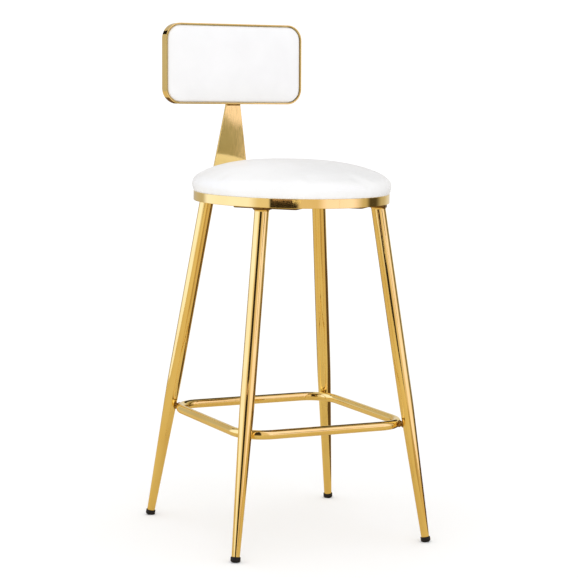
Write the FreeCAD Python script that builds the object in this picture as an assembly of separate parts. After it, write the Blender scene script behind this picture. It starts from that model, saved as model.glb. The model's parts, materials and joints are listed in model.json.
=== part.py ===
import FreeCAD, Part
import math
import os

# Bar stool with a square footrest, a round padded seat and a small padded backrest.
# Millimetres. +Z is up, the sitter faces -Y, and the origin is on the floor under
# the middle of the seat.

# ---------------------------------------------------------------- seat sizes
seat_height = 661.5            # floor to the crown of the cushion
band_diameter = 345.0          # outside of the flat-bar hoop around the seat
band_height = 16.0
band_thickness = 3.5
cushion_height = 57.1          # crown above the top edge of the band
cushion_overhang = 3.0         # how far the cushion bulges past the band
cushion_waist = 13.6           # widest level, above the band
cushion_edge_drop = 29.3       # how far the dome has fallen near its edge
cushion_tuck = 3.5             # how far the cushion draws in again at the band
board_thickness = 12.0
cover_thickness = 1.2          # vinyl with its backing
dust_cloth_thickness = 0.5
hem_width = 17.0               # vinyl turned under the board
soft_gap = 0.3                 # between a soft piece and what it lies against

# ---------------------------------------------------------------- leg sizes
leg_diameter = 25.0
leg_wall = 1.2
leg_tip_diameter = 14.0
leg_taper_length = 240.0       # along the leg, from its tip
leg_spread = 184.7             # of a leg's axis from the seat axis, in x and in y, at the floor
leg_top_inset = 1.3            # outer side of the leg's top, inside the band's face
foot_diameter = 17.0
foot_cap_height = 8.5
foot_edge_radius = 2.5
foot_sole_lift = 0.6           # middle of the sole above the floor, before it is trimmed flat
foot_plug_length = 18.0
foot_plug_clearance = 0.15

# ---------------------------------------------------------------- leg plates
plate_thickness = 4.0
plate_width = 114.0            # across the leg's direction
plate_depth = 60.0
plate_setback = 12.7           # outer straight edge, inside the leg's axis
plate_corner_radius = 6.0
tongue_margin = 3.0            # plate left around the top of the leg
plate_screw_edge = 13.0        # screw centres from the sides of the plate

# ---------------------------------------------------------------- footrest
footrest_height = 206.3
footrest_diameter = 16.0
footrest_wall = 1.2
footrest_inset = 3.1           # tube's line, inside the line of the legs, in x and in y
footrest_corner_radius = 50.0
stub_diameter = 10.0

# ---------------------------------------------------------------- backrest
back_width = 277.0
back_height = 148.0
back_corner_radius = 29.0
back_depth = 20.0
back_bar_thickness = 3.5
back_centre_rise = 162.3       # middle of the backrest above the seat's crown
back_setback = 71.5            # front of the backrest behind the band
back_tilt = 2.0                # degrees, top leaning back
back_fit_gap = 0.6             # pad inside the hoop
back_crown = 1.5               # front of the plain pad solid, ahead of the hoop
back_pad_edge_radius = 5.0
back_cover_thickness = 1.0
back_board_depth = 7.5         # front of the board, behind the hoop's front edge
back_board_thickness = 5.0
back_hem_width = 14.0
lug_thickness = 2.0
lug_width = 22.0
lug_length = 16.0
lug_offset = 85.0              # of a lug from the middle
rear_panel_thickness = 2.0
rear_panel_gap = 0.2
clip_diameter = 5.0
clip_head_diameter = 10.0
clip_head_height = 1.0
clip_offset_x = 70.0
clip_offset_z = 36.0

# ---------------------------------------------------------------- back bracket
bracket_thickness = 4.5
bracket_top_width = 29.0
bracket_flare = 0.33           # gain in width for each unit down
bracket_tab_width = 72.0
bracket_lean = 3.7             # degrees, leaning forward going up
bracket_bend_radius = 35.0
bracket_weld_depth = 9.0       # middle of the bracket behind the hoop's front edge
bracket_plate_gap = 3.0        # between the tab and the rear leg plates
bracket_screw_offset = 22.0    # of the outer pair of screws from the middle
bracket_screw_inset = 13.5     # of the outer pair inside the edge of the board
bracket_screw_rows = 20.0      # from the outer pair to the single inner screw
bracket_screw_edge = 10.0      # from the inner screw to the end of the tab

# ---------------------------------------------------------------- fasteners
screw_diameter = 6.0
screw_end_inset = 1.7          # end of a screw below the top of the board
screw_head_diameter = 12.0     # countersunk
screw_head_height = 3.3
screw_head_land = 0.3          # straight rim of the head
screw_socket_width = 4.0       # across the flats
screw_socket_depth = 2.1
screw_hole_clearance = 0.3
nut_flange_diameter = 19.0
nut_flange_thickness = 1.5
nut_barrel_diameter = 8.0
nut_barrel_inset = 1.0         # end of the barrel above the underside of the board
nut_clearance = 0.1
lug_screw_diameter = 3.0
lug_screw_length = 5.5
lug_screw_head_diameter = 6.4
lug_screw_head_height = 1.8
staple_wire = 0.6
staple_crown = 10.0
staple_leg = 6.0
hem_staple_count = 36
cloth_staple_count = 28
cloth_inset = 4.0              # edge of the dust cloth inside the board's edge
cloth_staple_inset = 3.0       # staples inside the edge of the dust cloth
hem_staple_inset = 6.0         # staples inside the edge of the board
back_staple_spacing = 30.0
back_staple_inset = 6.0

# ---------------------------------------------------------------- levels and radii
band_radius = band_diameter / 2
band_top = seat_height - cushion_height
band_bottom = band_top - band_height
plate_bottom = band_bottom - plate_thickness
cloth_top = band_bottom + dust_cloth_thickness
board_bottom = cloth_top + cover_thickness
board_top = board_bottom + board_thickness
cover_inner_wall = band_radius - band_thickness - soft_gap
board_radius = cover_inner_wall - cover_thickness - soft_gap
cloth_radius = board_radius - cloth_inset

leg_radius = leg_diameter / 2
leg_top_radial = band_radius - leg_radius - leg_top_inset
leg_top_half = leg_top_radial / math.sqrt(2)
leg_slope = (leg_spread - leg_top_half) / plate_bottom
leg_length = math.hypot(plate_bottom, math.sqrt(2) * (leg_spread - leg_top_half))
leg_rise = plate_bottom / leg_length

up = FreeCAD.Vector(0, 0, 1)
along_x = FreeCAD.Vector(1, 0, 0)
along_y = FreeCAD.Vector(0, 1, 0)
corners = {
    "front_left": (-1, -1),
    "front_right": (1, -1),
    "rear_left": (-1, 1),
    "rear_right": (1, 1),
}


def save(name, *pieces):
    """Write one node. Several pieces make a group of separate solids."""
    solids = [solid for piece in pieces for solid in piece.Solids]
    shape = solids[0] if len(solids) == 1 else Part.makeCompound(solids)
    shape.exportStep(os.path.join("parts", name + ".step"))


def cylinder(radius, length, base, axis=up):
    return Part.makeCylinder(radius, length, base, axis)


def revolved(edges):
    """Solid of revolution about Z from a closed outline in the XZ plane."""
    face = Part.Face(Part.Wire(edges))
    return face.revolve(FreeCAD.Vector(0, 0, 0), up, 360)


def outline(points):
    """Closed straight-sided outline."""
    closed = points + points[:1]
    return [Part.LineSegment(a, b).toShape() for a, b in zip(closed, closed[1:])]


def xz(x, z):
    return FreeCAD.Vector(x, 0, z)


def rounded_rectangle(width, height, radius, depth, front):
    """Rounded rectangle in XZ, from y = front back to front + depth."""
    block = Part.makeBox(width, depth, height, FreeCAD.Vector(-width / 2, front, -height / 2))
    upright = [e for e in block.Edges if abs(e.tangentAt(e.FirstParameter).y) > 0.99]
    return block.makeFillet(radius, upright)


def hexagonal_socket(centre):
    """Key socket cut upwards into a screw head, opening at centre."""
    across_corners = screw_socket_width / math.cos(math.pi / 6) / 2
    points = [
        FreeCAD.Vector(
            across_corners * math.cos(k * math.pi / 3),
            across_corners * math.sin(k * math.pi / 3),
            0,
        )
        for k in range(6)
    ]
    socket = Part.Face(Part.Wire(outline(points))).extrude(up * screw_socket_depth)
    socket.translate(centre)
    return socket


# ---------------------------------------------------------------- legs
def leg_half_at(z):
    """Distance of a leg's axis from the seat axis, in x and in y, at height z."""
    return leg_spread - leg_slope * z


def leg_placement(side):
    """Frame of a leg: origin at the tip of its tube, Z up the leg."""
    z = foot_sole_lift + foot_cap_height * leg_rise
    half = leg_half_at(z)
    lean = FreeCAD.Vector(-side[0] * leg_slope, -side[1] * leg_slope, 1)
    tip = FreeCAD.Vector(side[0] * half, side[1] * half, z)
    return FreeCAD.Placement(tip, FreeCAD.Rotation(up, lean))


def leg_solid(side, inset=0.0):
    """The leg's tapered bar, made smaller all round by inset, up to the plate."""
    tip = leg_tip_diameter / 2 - inset
    body = leg_radius - inset
    bar = revolved(outline([
        xz(0, 0), xz(tip, 0), xz(body, leg_taper_length),
        xz(body, leg_length), xz(0, leg_length),
    ]))
    bar.Placement = leg_placement(side)
    reach = leg_spread + leg_diameter
    above = Part.makeBox(
        2 * reach, 2 * reach, leg_length, FreeCAD.Vector(-reach, -reach, plate_bottom)
    )
    return bar.cut(above)


def leg(side):
    return leg_solid(side).cut(leg_solid(side, leg_wall))


def foot(side):
    """Moulded glide: a round cap under the tube and a plug inside it."""
    cap = foot_diameter / 2
    plug = leg_tip_diameter / 2 - leg_wall - foot_plug_clearance
    sole = -foot_cap_height
    flat = cap - foot_edge_radius
    quarter = foot_edge_radius * (1 - math.sqrt(0.5))
    glide = revolved([
        Part.LineSegment(xz(0, sole), xz(flat, sole)).toShape(),
        Part.Arc(
            xz(flat, sole), xz(cap - quarter, sole + quarter), xz(cap, sole + foot_edge_radius)
        ).toShape(),
        Part.LineSegment(xz(cap, sole + foot_edge_radius), xz(cap, 0)).toShape(),
        Part.LineSegment(xz(cap, 0), xz(plug, 0)).toShape(),
        Part.LineSegment(xz(plug, 0), xz(plug, foot_plug_length)).toShape(),
        Part.LineSegment(xz(plug, foot_plug_length), xz(0, foot_plug_length)).toShape(),
        Part.LineSegment(xz(0, foot_plug_length), xz(0, sole)).toShape(),
    ])
    glide.Placement = leg_placement(side)
    reach = leg_spread + foot_diameter
    ground = Part.makeBox(
        2 * reach, 2 * reach, foot_cap_height,
        FreeCAD.Vector(-reach, -reach, -foot_cap_height),
    )
    return glide.cut(ground)


# ---------------------------------------------------------------- leg plates and their screws
def facing(side, z):
    """Frame with X pointing out along the diagonal to a leg, at height z."""
    angle = math.degrees(math.atan2(side[1], side[0]))
    return FreeCAD.Placement(FreeCAD.Vector(0, 0, z), FreeCAD.Rotation(up, angle))


plate_outer = leg_top_radial - plate_setback
plate_inner = plate_outer - plate_depth
plate_screw_side = plate_width / 2 - plate_screw_edge
plate_screw_rows = (plate_inner + plate_screw_edge, plate_outer - plate_screw_edge)


def plate_screw_places():
    return [
        facing(side, 0).multVec(FreeCAD.Vector(row, offset, 0))
        for side in corners.values()
        for row in plate_screw_rows
        for offset in (-plate_screw_side, plate_screw_side)
    ]


def through_holes(places, diameter, z, length):
    return [cylinder(diameter / 2, length, FreeCAD.Vector(p.x, p.y, z)) for p in places]


def leg_plate(side):
    body = Part.makeBox(
        plate_depth, plate_width, plate_thickness, FreeCAD.Vector(plate_inner, -plate_width / 2, 0)
    )
    upright = [e for e in body.Edges if abs(e.tangentAt(e.FirstParameter).z) > 0.99]
    body = body.makeFillet(plate_corner_radius, upright)
    tongue_half = leg_radius + tongue_margin
    root = plate_outer - plate_corner_radius
    tongue = Part.makeBox(
        leg_top_radial - root, 2 * tongue_half, plate_thickness,
        FreeCAD.Vector(root, -tongue_half, 0),
    )
    end = cylinder(tongue_half, plate_thickness, FreeCAD.Vector(leg_top_radial, 0, 0))
    plate = body.fuse([tongue, end]).removeSplitter()
    plate = plate.common(cylinder(band_radius, plate_thickness, FreeCAD.Vector(0, 0, 0)))
    plate.Placement = facing(side, plate_bottom)
    return plate.cut([
        countersunk(p, plate_bottom, screw_hole_clearance, plate_thickness)
        for p in plate_screw_places()
    ])


def countersunk(place, bottom, clearance, length):
    """Shape of a flat-head screw pointing up, with its head flush with the level bottom."""
    rim = screw_head_diameter / 2 + clearance
    shank = screw_diameter / 2 + clearance
    body = revolved(outline([
        xz(0, 0), xz(rim, 0), xz(rim, screw_head_land),
        xz(shank, screw_head_height), xz(shank, length), xz(0, length),
    ]))
    body.translate(FreeCAD.Vector(place.x, place.y, bottom))
    return body


def screw(place, bottom):
    """Countersunk screw with a key socket, flush with the metal that it clamps."""
    socket = hexagonal_socket(FreeCAD.Vector(place.x, place.y, bottom))
    length = board_top - screw_end_inset - bottom
    return countersunk(place, bottom, 0, length).cut(socket)


def tee_nut(place):
    """Flanged barrel let into the top of the board."""
    length = board_thickness - nut_barrel_inset
    barrel_base = FreeCAD.Vector(place.x, place.y, board_bottom + nut_barrel_inset)
    flange_base = FreeCAD.Vector(place.x, place.y, board_top - nut_flange_thickness)
    flange = cylinder(nut_flange_diameter / 2, nut_flange_thickness, flange_base)
    barrel = cylinder(nut_barrel_diameter / 2, length, barrel_base)
    bore = cylinder(screw_diameter / 2 + nut_clearance / 2, length, barrel_base)
    return flange.fuse(barrel).removeSplitter().cut(bore)


def tee_nut_pocket(place):
    flange_base = FreeCAD.Vector(place.x, place.y, board_top - nut_flange_thickness)
    recess = cylinder(nut_flange_diameter / 2 + nut_clearance, nut_flange_thickness, flange_base)
    hole = cylinder(
        nut_barrel_diameter / 2 + nut_clearance, board_thickness,
        FreeCAD.Vector(place.x, place.y, board_bottom),
    )
    return recess.fuse(hole)


# ---------------------------------------------------------------- footrest
footrest_half = leg_half_at(footrest_height) - footrest_inset
footrest_corner_radial = (
    math.sqrt(2) * (footrest_half - footrest_corner_radius) + footrest_corner_radius
)


def footrest_bar(radius):
    """Solid round bar of the given radius along the footrest's rounded square."""
    straight = footrest_half - footrest_corner_radius
    quarter = footrest_corner_radius * math.sqrt(0.5)
    edges = []
    for turn in range(4):
        placed = FreeCAD.Placement(
            FreeCAD.Vector(0, 0, footrest_height), FreeCAD.Rotation(up, 90 * turn)
        )
        a = placed.multVec(FreeCAD.Vector(footrest_half, -straight, 0))
        b = placed.multVec(FreeCAD.Vector(footrest_half, straight, 0))
        mid = placed.multVec(FreeCAD.Vector(straight + quarter, straight + quarter, 0))
        c = placed.multVec(FreeCAD.Vector(straight, footrest_half, 0))
        edges += [Part.LineSegment(a, b).toShape(), Part.Arc(b, mid, c).toShape()]
    start = FreeCAD.Vector(footrest_half, -straight, footrest_height)
    section = Part.Wire(Part.Circle(start, along_y, radius).toShape())
    return Part.Wire(edges).makePipeShell([section], True, False)


def footrest_stub(side):
    """Short rod welded between a corner of the footrest and its leg."""
    leg_radial = math.sqrt(2) * leg_half_at(footrest_height)
    placed = facing(side, footrest_height)
    start = placed.multVec(FreeCAD.Vector(footrest_corner_radial, 0, 0))
    outwards = placed.Rotation.multVec(along_x)
    rod = cylinder(stub_diameter / 2, leg_radial - footrest_corner_radial, start, outwards)
    return rod.cut([leg_solid(side), footrest_bar(footrest_diameter / 2)])


# ---------------------------------------------------------------- seat
def dome_height(r, inset):
    """Level of the cushion's top at radius r: nearly flat, then falling as r cubed."""
    edge = band_radius + cushion_overhang
    return seat_height - inset - cushion_edge_drop * (r / edge) ** 3


def cushion_outline(inset, foot_radius, foot_level):
    """Half outline of the cushion from its crown to its foot inside the band."""
    edge = band_radius + cushion_overhang - inset
    widest = band_top + cushion_waist
    base = band_top + soft_gap + inset
    crown, inner, outer, rim = 0.0, edge * 0.68, edge * 0.91, edge

    def on_dome(r):
        return xz(r, dome_height(r, inset))

    shoulder = on_dome(outer)
    side_mid = xz(edge - 0.19 * (edge - outer), widest + 0.66 * (shoulder.z - widest))
    tuck = xz(edge - cushion_tuck, base)
    tuck_mid = xz(edge - 0.22 * cushion_tuck, base + 0.46 * (widest - base))
    foot_top = xz(foot_radius, base)
    foot_end = xz(foot_radius, foot_level)
    return [
        Part.Arc(on_dome(crown), on_dome(inner / 2), on_dome(inner)).toShape(),
        Part.Arc(on_dome(inner), on_dome((inner + outer) / 2), shoulder).toShape(),
        Part.Arc(shoulder, side_mid, xz(rim, widest)).toShape(),
        Part.Arc(xz(rim, widest), tuck_mid, tuck).toShape(),
        Part.LineSegment(tuck, foot_top).toShape(),
        Part.LineSegment(foot_top, foot_end).toShape(),
    ]


def cushion_solid(inset, foot_radius, foot_level):
    edges = cushion_outline(inset, foot_radius, foot_level)
    closing = [
        Part.LineSegment(xz(foot_radius, foot_level), xz(0, foot_level)).toShape(),
        Part.LineSegment(xz(0, foot_level), xz(0, seat_height - inset)).toShape(),
    ]
    return revolved(edges + closing)


def ring_of_staples(count, radius, crown_level, skip=lambda angle: False):
    """Staples driven upwards, their crowns along a circle."""
    staples = []
    for k in range(count):
        angle = 360 / count * (k + 0.5)
        if skip(angle):
            continue
        staples.append(staple(facing_angle(angle, radius, crown_level)))
    return staples


def facing_angle(angle, radius, z):
    turn = FreeCAD.Rotation(up, angle)
    place = turn.multVec(FreeCAD.Vector(radius, 0, 0)) + up * z
    return FreeCAD.Placement(place, turn)


def staple(placement):
    """Crown along local Y with its lower face at the origin, legs along local Z."""
    half = staple_crown / 2
    crown = Part.makeBox(
        staple_wire, staple_crown, staple_wire, FreeCAD.Vector(-staple_wire / 2, -half, 0)
    )
    legs = [
        Part.makeBox(
            staple_wire, staple_wire, staple_leg, FreeCAD.Vector(-staple_wire / 2, y, 0)
        )
        for y in (-half, half - staple_wire)
    ]
    piece = crown.fuse(legs).removeSplitter()
    piece.Placement = placement
    return piece


def angle_between(a, b):
    return abs((a - b + 180) % 360 - 180)


def under_metal(angle):
    """Is a staple of the dust cloth at this angle hidden by a plate's tongue or the tab?"""
    radius = cloth_radius - cloth_staple_inset
    spare = staple_crown / 2 + 2
    tongue = math.degrees((leg_radius + tongue_margin + spare) / radius)
    tab = math.degrees((bracket_tab_width / 2 + spare) / radius)
    at_tongue = any(angle_between(angle, 45 + 90 * k) < tongue for k in range(4))
    return at_tongue or angle_between(angle, 90) < tab


# ---------------------------------------------------------------- back bracket
bracket_tab_half = bracket_tab_width / 2
tab_bottom = band_bottom - bracket_thickness
bracket_outer_row = board_radius - bracket_screw_inset
bracket_inner_row = bracket_outer_row - bracket_screw_rows
bracket_tab_end = bracket_inner_row - bracket_screw_edge
back_front = band_radius + back_setback
back_centre = seat_height + back_centre_rise
back_placement = FreeCAD.Placement(
    FreeCAD.Vector(0, back_front, back_centre), FreeCAD.Rotation(along_x, -back_tilt)
)


def bracket_screw_places():
    return [
        FreeCAD.Vector(-bracket_screw_offset, bracket_outer_row, 0),
        FreeCAD.Vector(bracket_screw_offset, bracket_outer_row, 0),
        FreeCAD.Vector(0, bracket_inner_row, 0),
    ]


def room_for_plate(side):
    """Space at the level of the tab that a leg plate and the gap around it take up."""
    gap = bracket_plate_gap
    room = Part.makeBox(
        band_radius - plate_inner, plate_width + 2 * gap, bracket_thickness,
        FreeCAD.Vector(plate_inner - gap, -plate_width / 2 - gap, 0),
    )
    room.Placement = facing(side, tab_bottom)
    return room


def back_bracket():
    """Bent flat bar: a tab under the board, a bend, and a blade that narrows upwards."""
    top = back_placement.multVec(FreeCAD.Vector(0, bracket_weld_depth, -back_height / 2))
    turn = math.radians(90 + bracket_lean)
    mid_level = band_bottom - bracket_thickness / 2
    bend_level = mid_level + bracket_bend_radius
    rise = (top.z - bend_level + bracket_bend_radius * math.cos(turn)) / math.sin(turn)
    bend_y = top.y - rise * math.cos(turn) - bracket_bend_radius * math.sin(turn)
    centre = FreeCAD.Vector(0, bend_y, bend_level)
    blade_up = FreeCAD.Vector(0, math.cos(turn), math.sin(turn))
    reach = rise + back_bar_thickness

    def on_bend(radius, angle):
        return centre + FreeCAD.Vector(0, radius * math.sin(angle), -radius * math.cos(angle))

    def side(offset):
        radius = bracket_bend_radius + offset
        tab = FreeCAD.Vector(0, bracket_tab_end, bend_level - radius)
        start, middle, end = (on_bend(radius, f * turn) for f in (0, 0.5, 1))
        return tab, start, middle, end, end + blade_up * reach

    outer = side(bracket_thickness / 2)
    inner = side(-bracket_thickness / 2)
    strip = Part.Face(Part.Wire([
        Part.LineSegment(outer[0], outer[1]).toShape(),
        Part.Arc(outer[1], outer[2], outer[3]).toShape(),
        Part.LineSegment(outer[3], outer[4]).toShape(),
        Part.LineSegment(outer[4], inner[4]).toShape(),
        Part.LineSegment(inner[4], inner[3]).toShape(),
        Part.Arc(inner[3], inner[2], inner[1]).toShape(),
        Part.LineSegment(inner[1], inner[0]).toShape(),
        Part.LineSegment(inner[0], outer[0]).toShape(),
    ]))
    strip.translate(FreeCAD.Vector(-bracket_tab_half, 0, 0))
    bar = strip.extrude(FreeCAD.Vector(bracket_tab_width, 0, 0))

    neck = bracket_top_width / 2
    shoulder = top.z - (bracket_tab_half - neck) / (bracket_flare / 2)
    low = plate_bottom - bracket_thickness
    high = top.z + back_bar_thickness
    front_view = Part.Face(Part.Wire(outline([
        xz(-bracket_tab_half, low), xz(bracket_tab_half, low), xz(bracket_tab_half, shoulder),
        xz(neck, top.z), xz(neck, high), xz(-neck, high), xz(-neck, top.z),
        xz(-bracket_tab_half, shoulder),
    ]))).extrude(along_y * (top.y + bracket_tab_width))
    holes = [
        countersunk(p, tab_bottom, screw_hole_clearance, bracket_thickness)
        for p in bracket_screw_places()
    ]
    rooms = [room_for_plate(corners[name]) for name in ("rear_left", "rear_right")]
    return bar.common(front_view).cut(hoop_block()).cut(holes + rooms)


# ---------------------------------------------------------------- backrest
def hoop_block(inset=0.0, front=0.0, depth=back_depth):
    """Block that fills the hoop's outline, made smaller all round by inset."""
    block = rounded_rectangle(
        back_width - 2 * inset, back_height - 2 * inset, back_corner_radius - inset, depth, front
    )
    block.Placement = back_placement
    return block


back_pad_inset = back_bar_thickness + back_fit_gap
back_board_rear = back_board_depth + back_board_thickness
back_hem_rear = back_board_rear + back_cover_thickness
lug_rear = back_hem_rear + lug_thickness
rear_panel_front = lug_rear + lug_screw_head_height + rear_panel_gap
rear_panel_rear = rear_panel_front + rear_panel_thickness
inner_height = back_height - 2 * back_bar_thickness


def on_back(x, y, z):
    return back_placement.multVec(FreeCAD.Vector(x, y, z))


def into_back():
    """Direction from the front of the backrest to its rear."""
    return back_placement.Rotation.multVec(along_y)


def pad_block(inset, front, rear):
    """Pad solid with a rounded front edge, in place in the hoop."""
    width = back_width - 2 * (back_pad_inset + inset)
    height = back_height - 2 * (back_pad_inset + inset)
    corner = back_corner_radius - back_pad_inset - inset
    block = rounded_rectangle(width, height, corner, rear - front, front)
    front_edges = [
        e for e in block.Edges
        if all(abs(v.Point.y - front) < 0.01 for v in e.Vertexes)
    ]
    block = block.makeFillet(back_pad_edge_radius - inset, front_edges)
    block.Placement = back_placement
    return block


lug_places = [
    (x, z_side)
    for x in (-lug_offset, lug_offset)
    for z_side in (-1, 1)
]
clip_places = [
    (x, z)
    for x in (-clip_offset_x, clip_offset_x)
    for z in (-clip_offset_z, clip_offset_z)
]


def hoop_lug(x, z_side):
    """Small flat tongue welded inside the hoop, with a screw hole."""
    low = inner_height / 2 - lug_length if z_side > 0 else -inner_height / 2
    plate = Part.makeBox(
        lug_width, lug_thickness, lug_length, FreeCAD.Vector(x - lug_width / 2, back_hem_rear, low)
    )
    hole = cylinder(
        lug_screw_diameter / 2 + nut_clearance, lug_thickness,
        FreeCAD.Vector(x, back_hem_rear, lug_screw_level(z_side)), along_y,
    )
    plate = plate.cut(hole)
    plate.Placement = back_placement
    return plate


def lug_screw_level(z_side):
    return z_side * (inner_height / 2 - lug_length * 0.6)


def lug_screw(x, z_side):
    z = lug_screw_level(z_side)
    shank = cylinder(
        lug_screw_diameter / 2, lug_screw_length + 0.1,
        on_back(x, lug_rear - lug_screw_length, z), into_back(),
    )
    head = cylinder(
        lug_screw_head_diameter / 2, lug_screw_head_height, on_back(x, lug_rear, z), into_back()
    )
    slot_half = lug_screw_head_diameter / 2
    slots = [
        Part.makeBox(w, 0.9, h, FreeCAD.Vector(x - w / 2, lug_rear + lug_screw_head_height - 0.9, z - h / 2))
        for w, h in ((slot_half, 0.8), (0.8, slot_half))
    ]
    cross = slots[0].fuse(slots[1])
    cross.Placement = back_placement
    return shank.fuse(head).removeSplitter().cut(cross)


def panel_clip(x, z):
    """Push-in plug from the rear panel into the board."""
    head = cylinder(
        clip_head_diameter / 2, clip_head_height,
        on_back(x, rear_panel_front - clip_head_height, z), into_back(),
    )
    pin_start = back_board_depth + 1
    pin = cylinder(
        clip_diameter / 2, rear_panel_rear - pin_start, on_back(x, pin_start, z), into_back()
    )
    return head.fuse(pin).removeSplitter()


def back_staples():
    """Staples through the turned-in vinyl into the back of the board."""
    half_w = back_width / 2 - back_pad_inset - back_staple_inset
    half_h = back_height / 2 - back_pad_inset - back_staple_inset
    straight_w = half_w - back_corner_radius
    straight_h = half_h - back_corner_radius
    across = int(2 * straight_w // back_staple_spacing)
    down = int(2 * straight_h // back_staple_spacing)
    places = []
    for k in range(across + 1):
        x = -straight_w + 2 * straight_w * k / across
        if all(abs(x - lug_x) > (lug_width + staple_crown) / 2 + 1 for lug_x, _ in lug_places):
            places += [(x, half_h, 0), (x, -half_h, 0)]
    for k in range(down + 1):
        z = -straight_h + 2 * straight_h * k / down
        places += [(half_w, z, 90), (-half_w, z, 90)]
    pieces = []
    for x, z, spin in places:
        crown_along = FreeCAD.Rotation(along_y, spin)
        legs_forward = FreeCAD.Rotation(
            FreeCAD.Vector(0, 0, -1), along_x, FreeCAD.Vector(0, -1, 0), "ZXY"
        )
        local = FreeCAD.Placement(FreeCAD.Vector(x, back_hem_rear, z), crown_along.multiply(legs_forward))
        pieces.append(staple(back_placement.multiply(local)))
    return pieces


# ---------------------------------------------------------------- build every node
os.makedirs("parts", exist_ok=True)

all_places = plate_screw_places() + bracket_screw_places()

for name, side in corners.items():
    save("leg_" + name, leg(side))
    save("leg_plate_" + name, leg_plate(side))
    save("foot_" + name, foot(side))
    save("footrest_stub_" + name, footrest_stub(side))

save("footrest_ring", footrest_bar(footrest_diameter / 2).cut(
    footrest_bar(footrest_diameter / 2 - footrest_wall)
))

band_base = FreeCAD.Vector(0, 0, band_bottom)
save("seat_band", cylinder(band_radius, band_height, band_base).cut(
    cylinder(band_radius - band_thickness, band_height, band_base)
))

hem_staples = ring_of_staples(hem_staple_count, board_radius - hem_staple_inset, cloth_top)
cloth_staples = ring_of_staples(
    cloth_staple_count, cloth_radius - cloth_staple_inset, band_bottom - staple_wire, under_metal
)
save("hem_staples", *hem_staples)
save("dust_cloth_staples", *cloth_staples)

board = cylinder(board_radius, board_thickness, FreeCAD.Vector(0, 0, board_bottom))
board = board.cut([tee_nut_pocket(p) for p in all_places]).cut(hem_staples + cloth_staples)
save("seat_board", board)

foam = cushion_solid(cover_thickness + soft_gap, board_radius, board_top)
save("seat_foam", foam)

screw_passages = through_holes(
    all_places, nut_barrel_diameter + 2 * nut_clearance, band_bottom, board_bottom - band_bottom
)
cover = cushion_solid(0.0, cover_inner_wall, cloth_top)
lining = cushion_solid(cover_thickness, cover_inner_wall - cover_thickness, board_bottom)
hem_opening = cylinder(
    board_radius - hem_width, cover_thickness, FreeCAD.Vector(0, 0, cloth_top)
)
cover = cover.cut(lining).cut(hem_opening).cut(screw_passages + hem_staples + cloth_staples)
save("seat_cover", cover)

cloth = cylinder(cloth_radius, dust_cloth_thickness, band_base)
save("dust_cloth", cloth.cut(screw_passages + cloth_staples))

save("leg_plate_screws", *[screw(p, plate_bottom) for p in plate_screw_places()])
save("leg_plate_tee_nuts", *[tee_nut(p) for p in plate_screw_places()])

save("bracket_screws", *[screw(p, tab_bottom) for p in bracket_screw_places()])
save("bracket_tee_nuts", *[tee_nut(p) for p in bracket_screw_places()])
save("back_bracket", back_bracket())

save("back_hoop", hoop_block().cut(hoop_block(inset=back_bar_thickness)))
save("hoop_lugs", *[hoop_lug(x, s) for x, s in lug_places])

staples_in_back = back_staples()
lug_screws = [lug_screw(x, s) for x, s in lug_places]
clips = [panel_clip(x, z) for x, z in clip_places]
save("hoop_lug_screws", *lug_screws)
save("rear_panel_clips", *clips)
save("back_cover_staples", *staples_in_back)

shell = back_cover_thickness
back_board = hoop_block(back_pad_inset + shell, back_board_depth, back_board_thickness)
save("back_board", back_board.cut(staples_in_back + lug_screws + clips))
save("back_foam", pad_block(shell + soft_gap, -back_crown + shell + soft_gap, back_board_depth))
back_cover = pad_block(0.0, -back_crown, back_hem_rear)
back_cover = back_cover.cut(pad_block(shell, -back_crown + shell, back_board_rear))
back_cover = back_cover.cut(
    hoop_block(back_pad_inset + back_hem_width, back_board_rear, shell)
)
save("back_cover", back_cover.cut(staples_in_back + lug_screws))

rear_panel = hoop_block(back_pad_inset + shell, rear_panel_front, rear_panel_thickness)
save("rear_panel", rear_panel.cut(clips))
rear_cover = hoop_block(back_pad_inset, rear_panel_front, rear_panel_thickness + shell)
save("rear_panel_cover", rear_cover.cut(
    hoop_block(back_pad_inset + shell, rear_panel_front, rear_panel_thickness)
))
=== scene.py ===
"""Finished look of a bar stool: gold-plated frame, white vinyl seat and backrest, black glides.

Everything is in metres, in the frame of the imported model: +Z up, the backrest on the +Y side and
the origin on the floor under the middle of the seat.
"""

import json
import logging
import math
from collections.abc import Callable, Sequence
from dataclasses import dataclass
from enum import Enum

import bmesh
import bpy
from mathutils import Matrix, Vector, noise


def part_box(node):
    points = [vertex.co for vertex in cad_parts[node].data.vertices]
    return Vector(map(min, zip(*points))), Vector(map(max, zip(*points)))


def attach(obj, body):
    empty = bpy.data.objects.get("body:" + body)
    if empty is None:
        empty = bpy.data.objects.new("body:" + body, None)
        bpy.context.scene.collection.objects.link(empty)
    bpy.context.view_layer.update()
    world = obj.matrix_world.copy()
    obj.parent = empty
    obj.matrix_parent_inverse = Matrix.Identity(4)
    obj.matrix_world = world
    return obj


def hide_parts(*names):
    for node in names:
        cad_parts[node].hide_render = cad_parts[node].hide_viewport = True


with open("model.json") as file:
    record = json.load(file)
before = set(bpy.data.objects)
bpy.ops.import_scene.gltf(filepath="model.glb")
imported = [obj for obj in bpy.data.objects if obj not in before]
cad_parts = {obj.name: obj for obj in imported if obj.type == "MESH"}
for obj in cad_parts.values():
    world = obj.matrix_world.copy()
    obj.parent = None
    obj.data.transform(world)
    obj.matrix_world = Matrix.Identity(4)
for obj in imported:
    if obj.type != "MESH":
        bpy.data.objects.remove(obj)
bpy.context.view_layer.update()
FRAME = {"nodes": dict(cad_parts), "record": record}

LOG = logging.getLogger("bar_stool")
BODY = "root"
MM = 0.001
SAME_POINT = 1e-6                      # points nearer to each other than this are one
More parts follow.
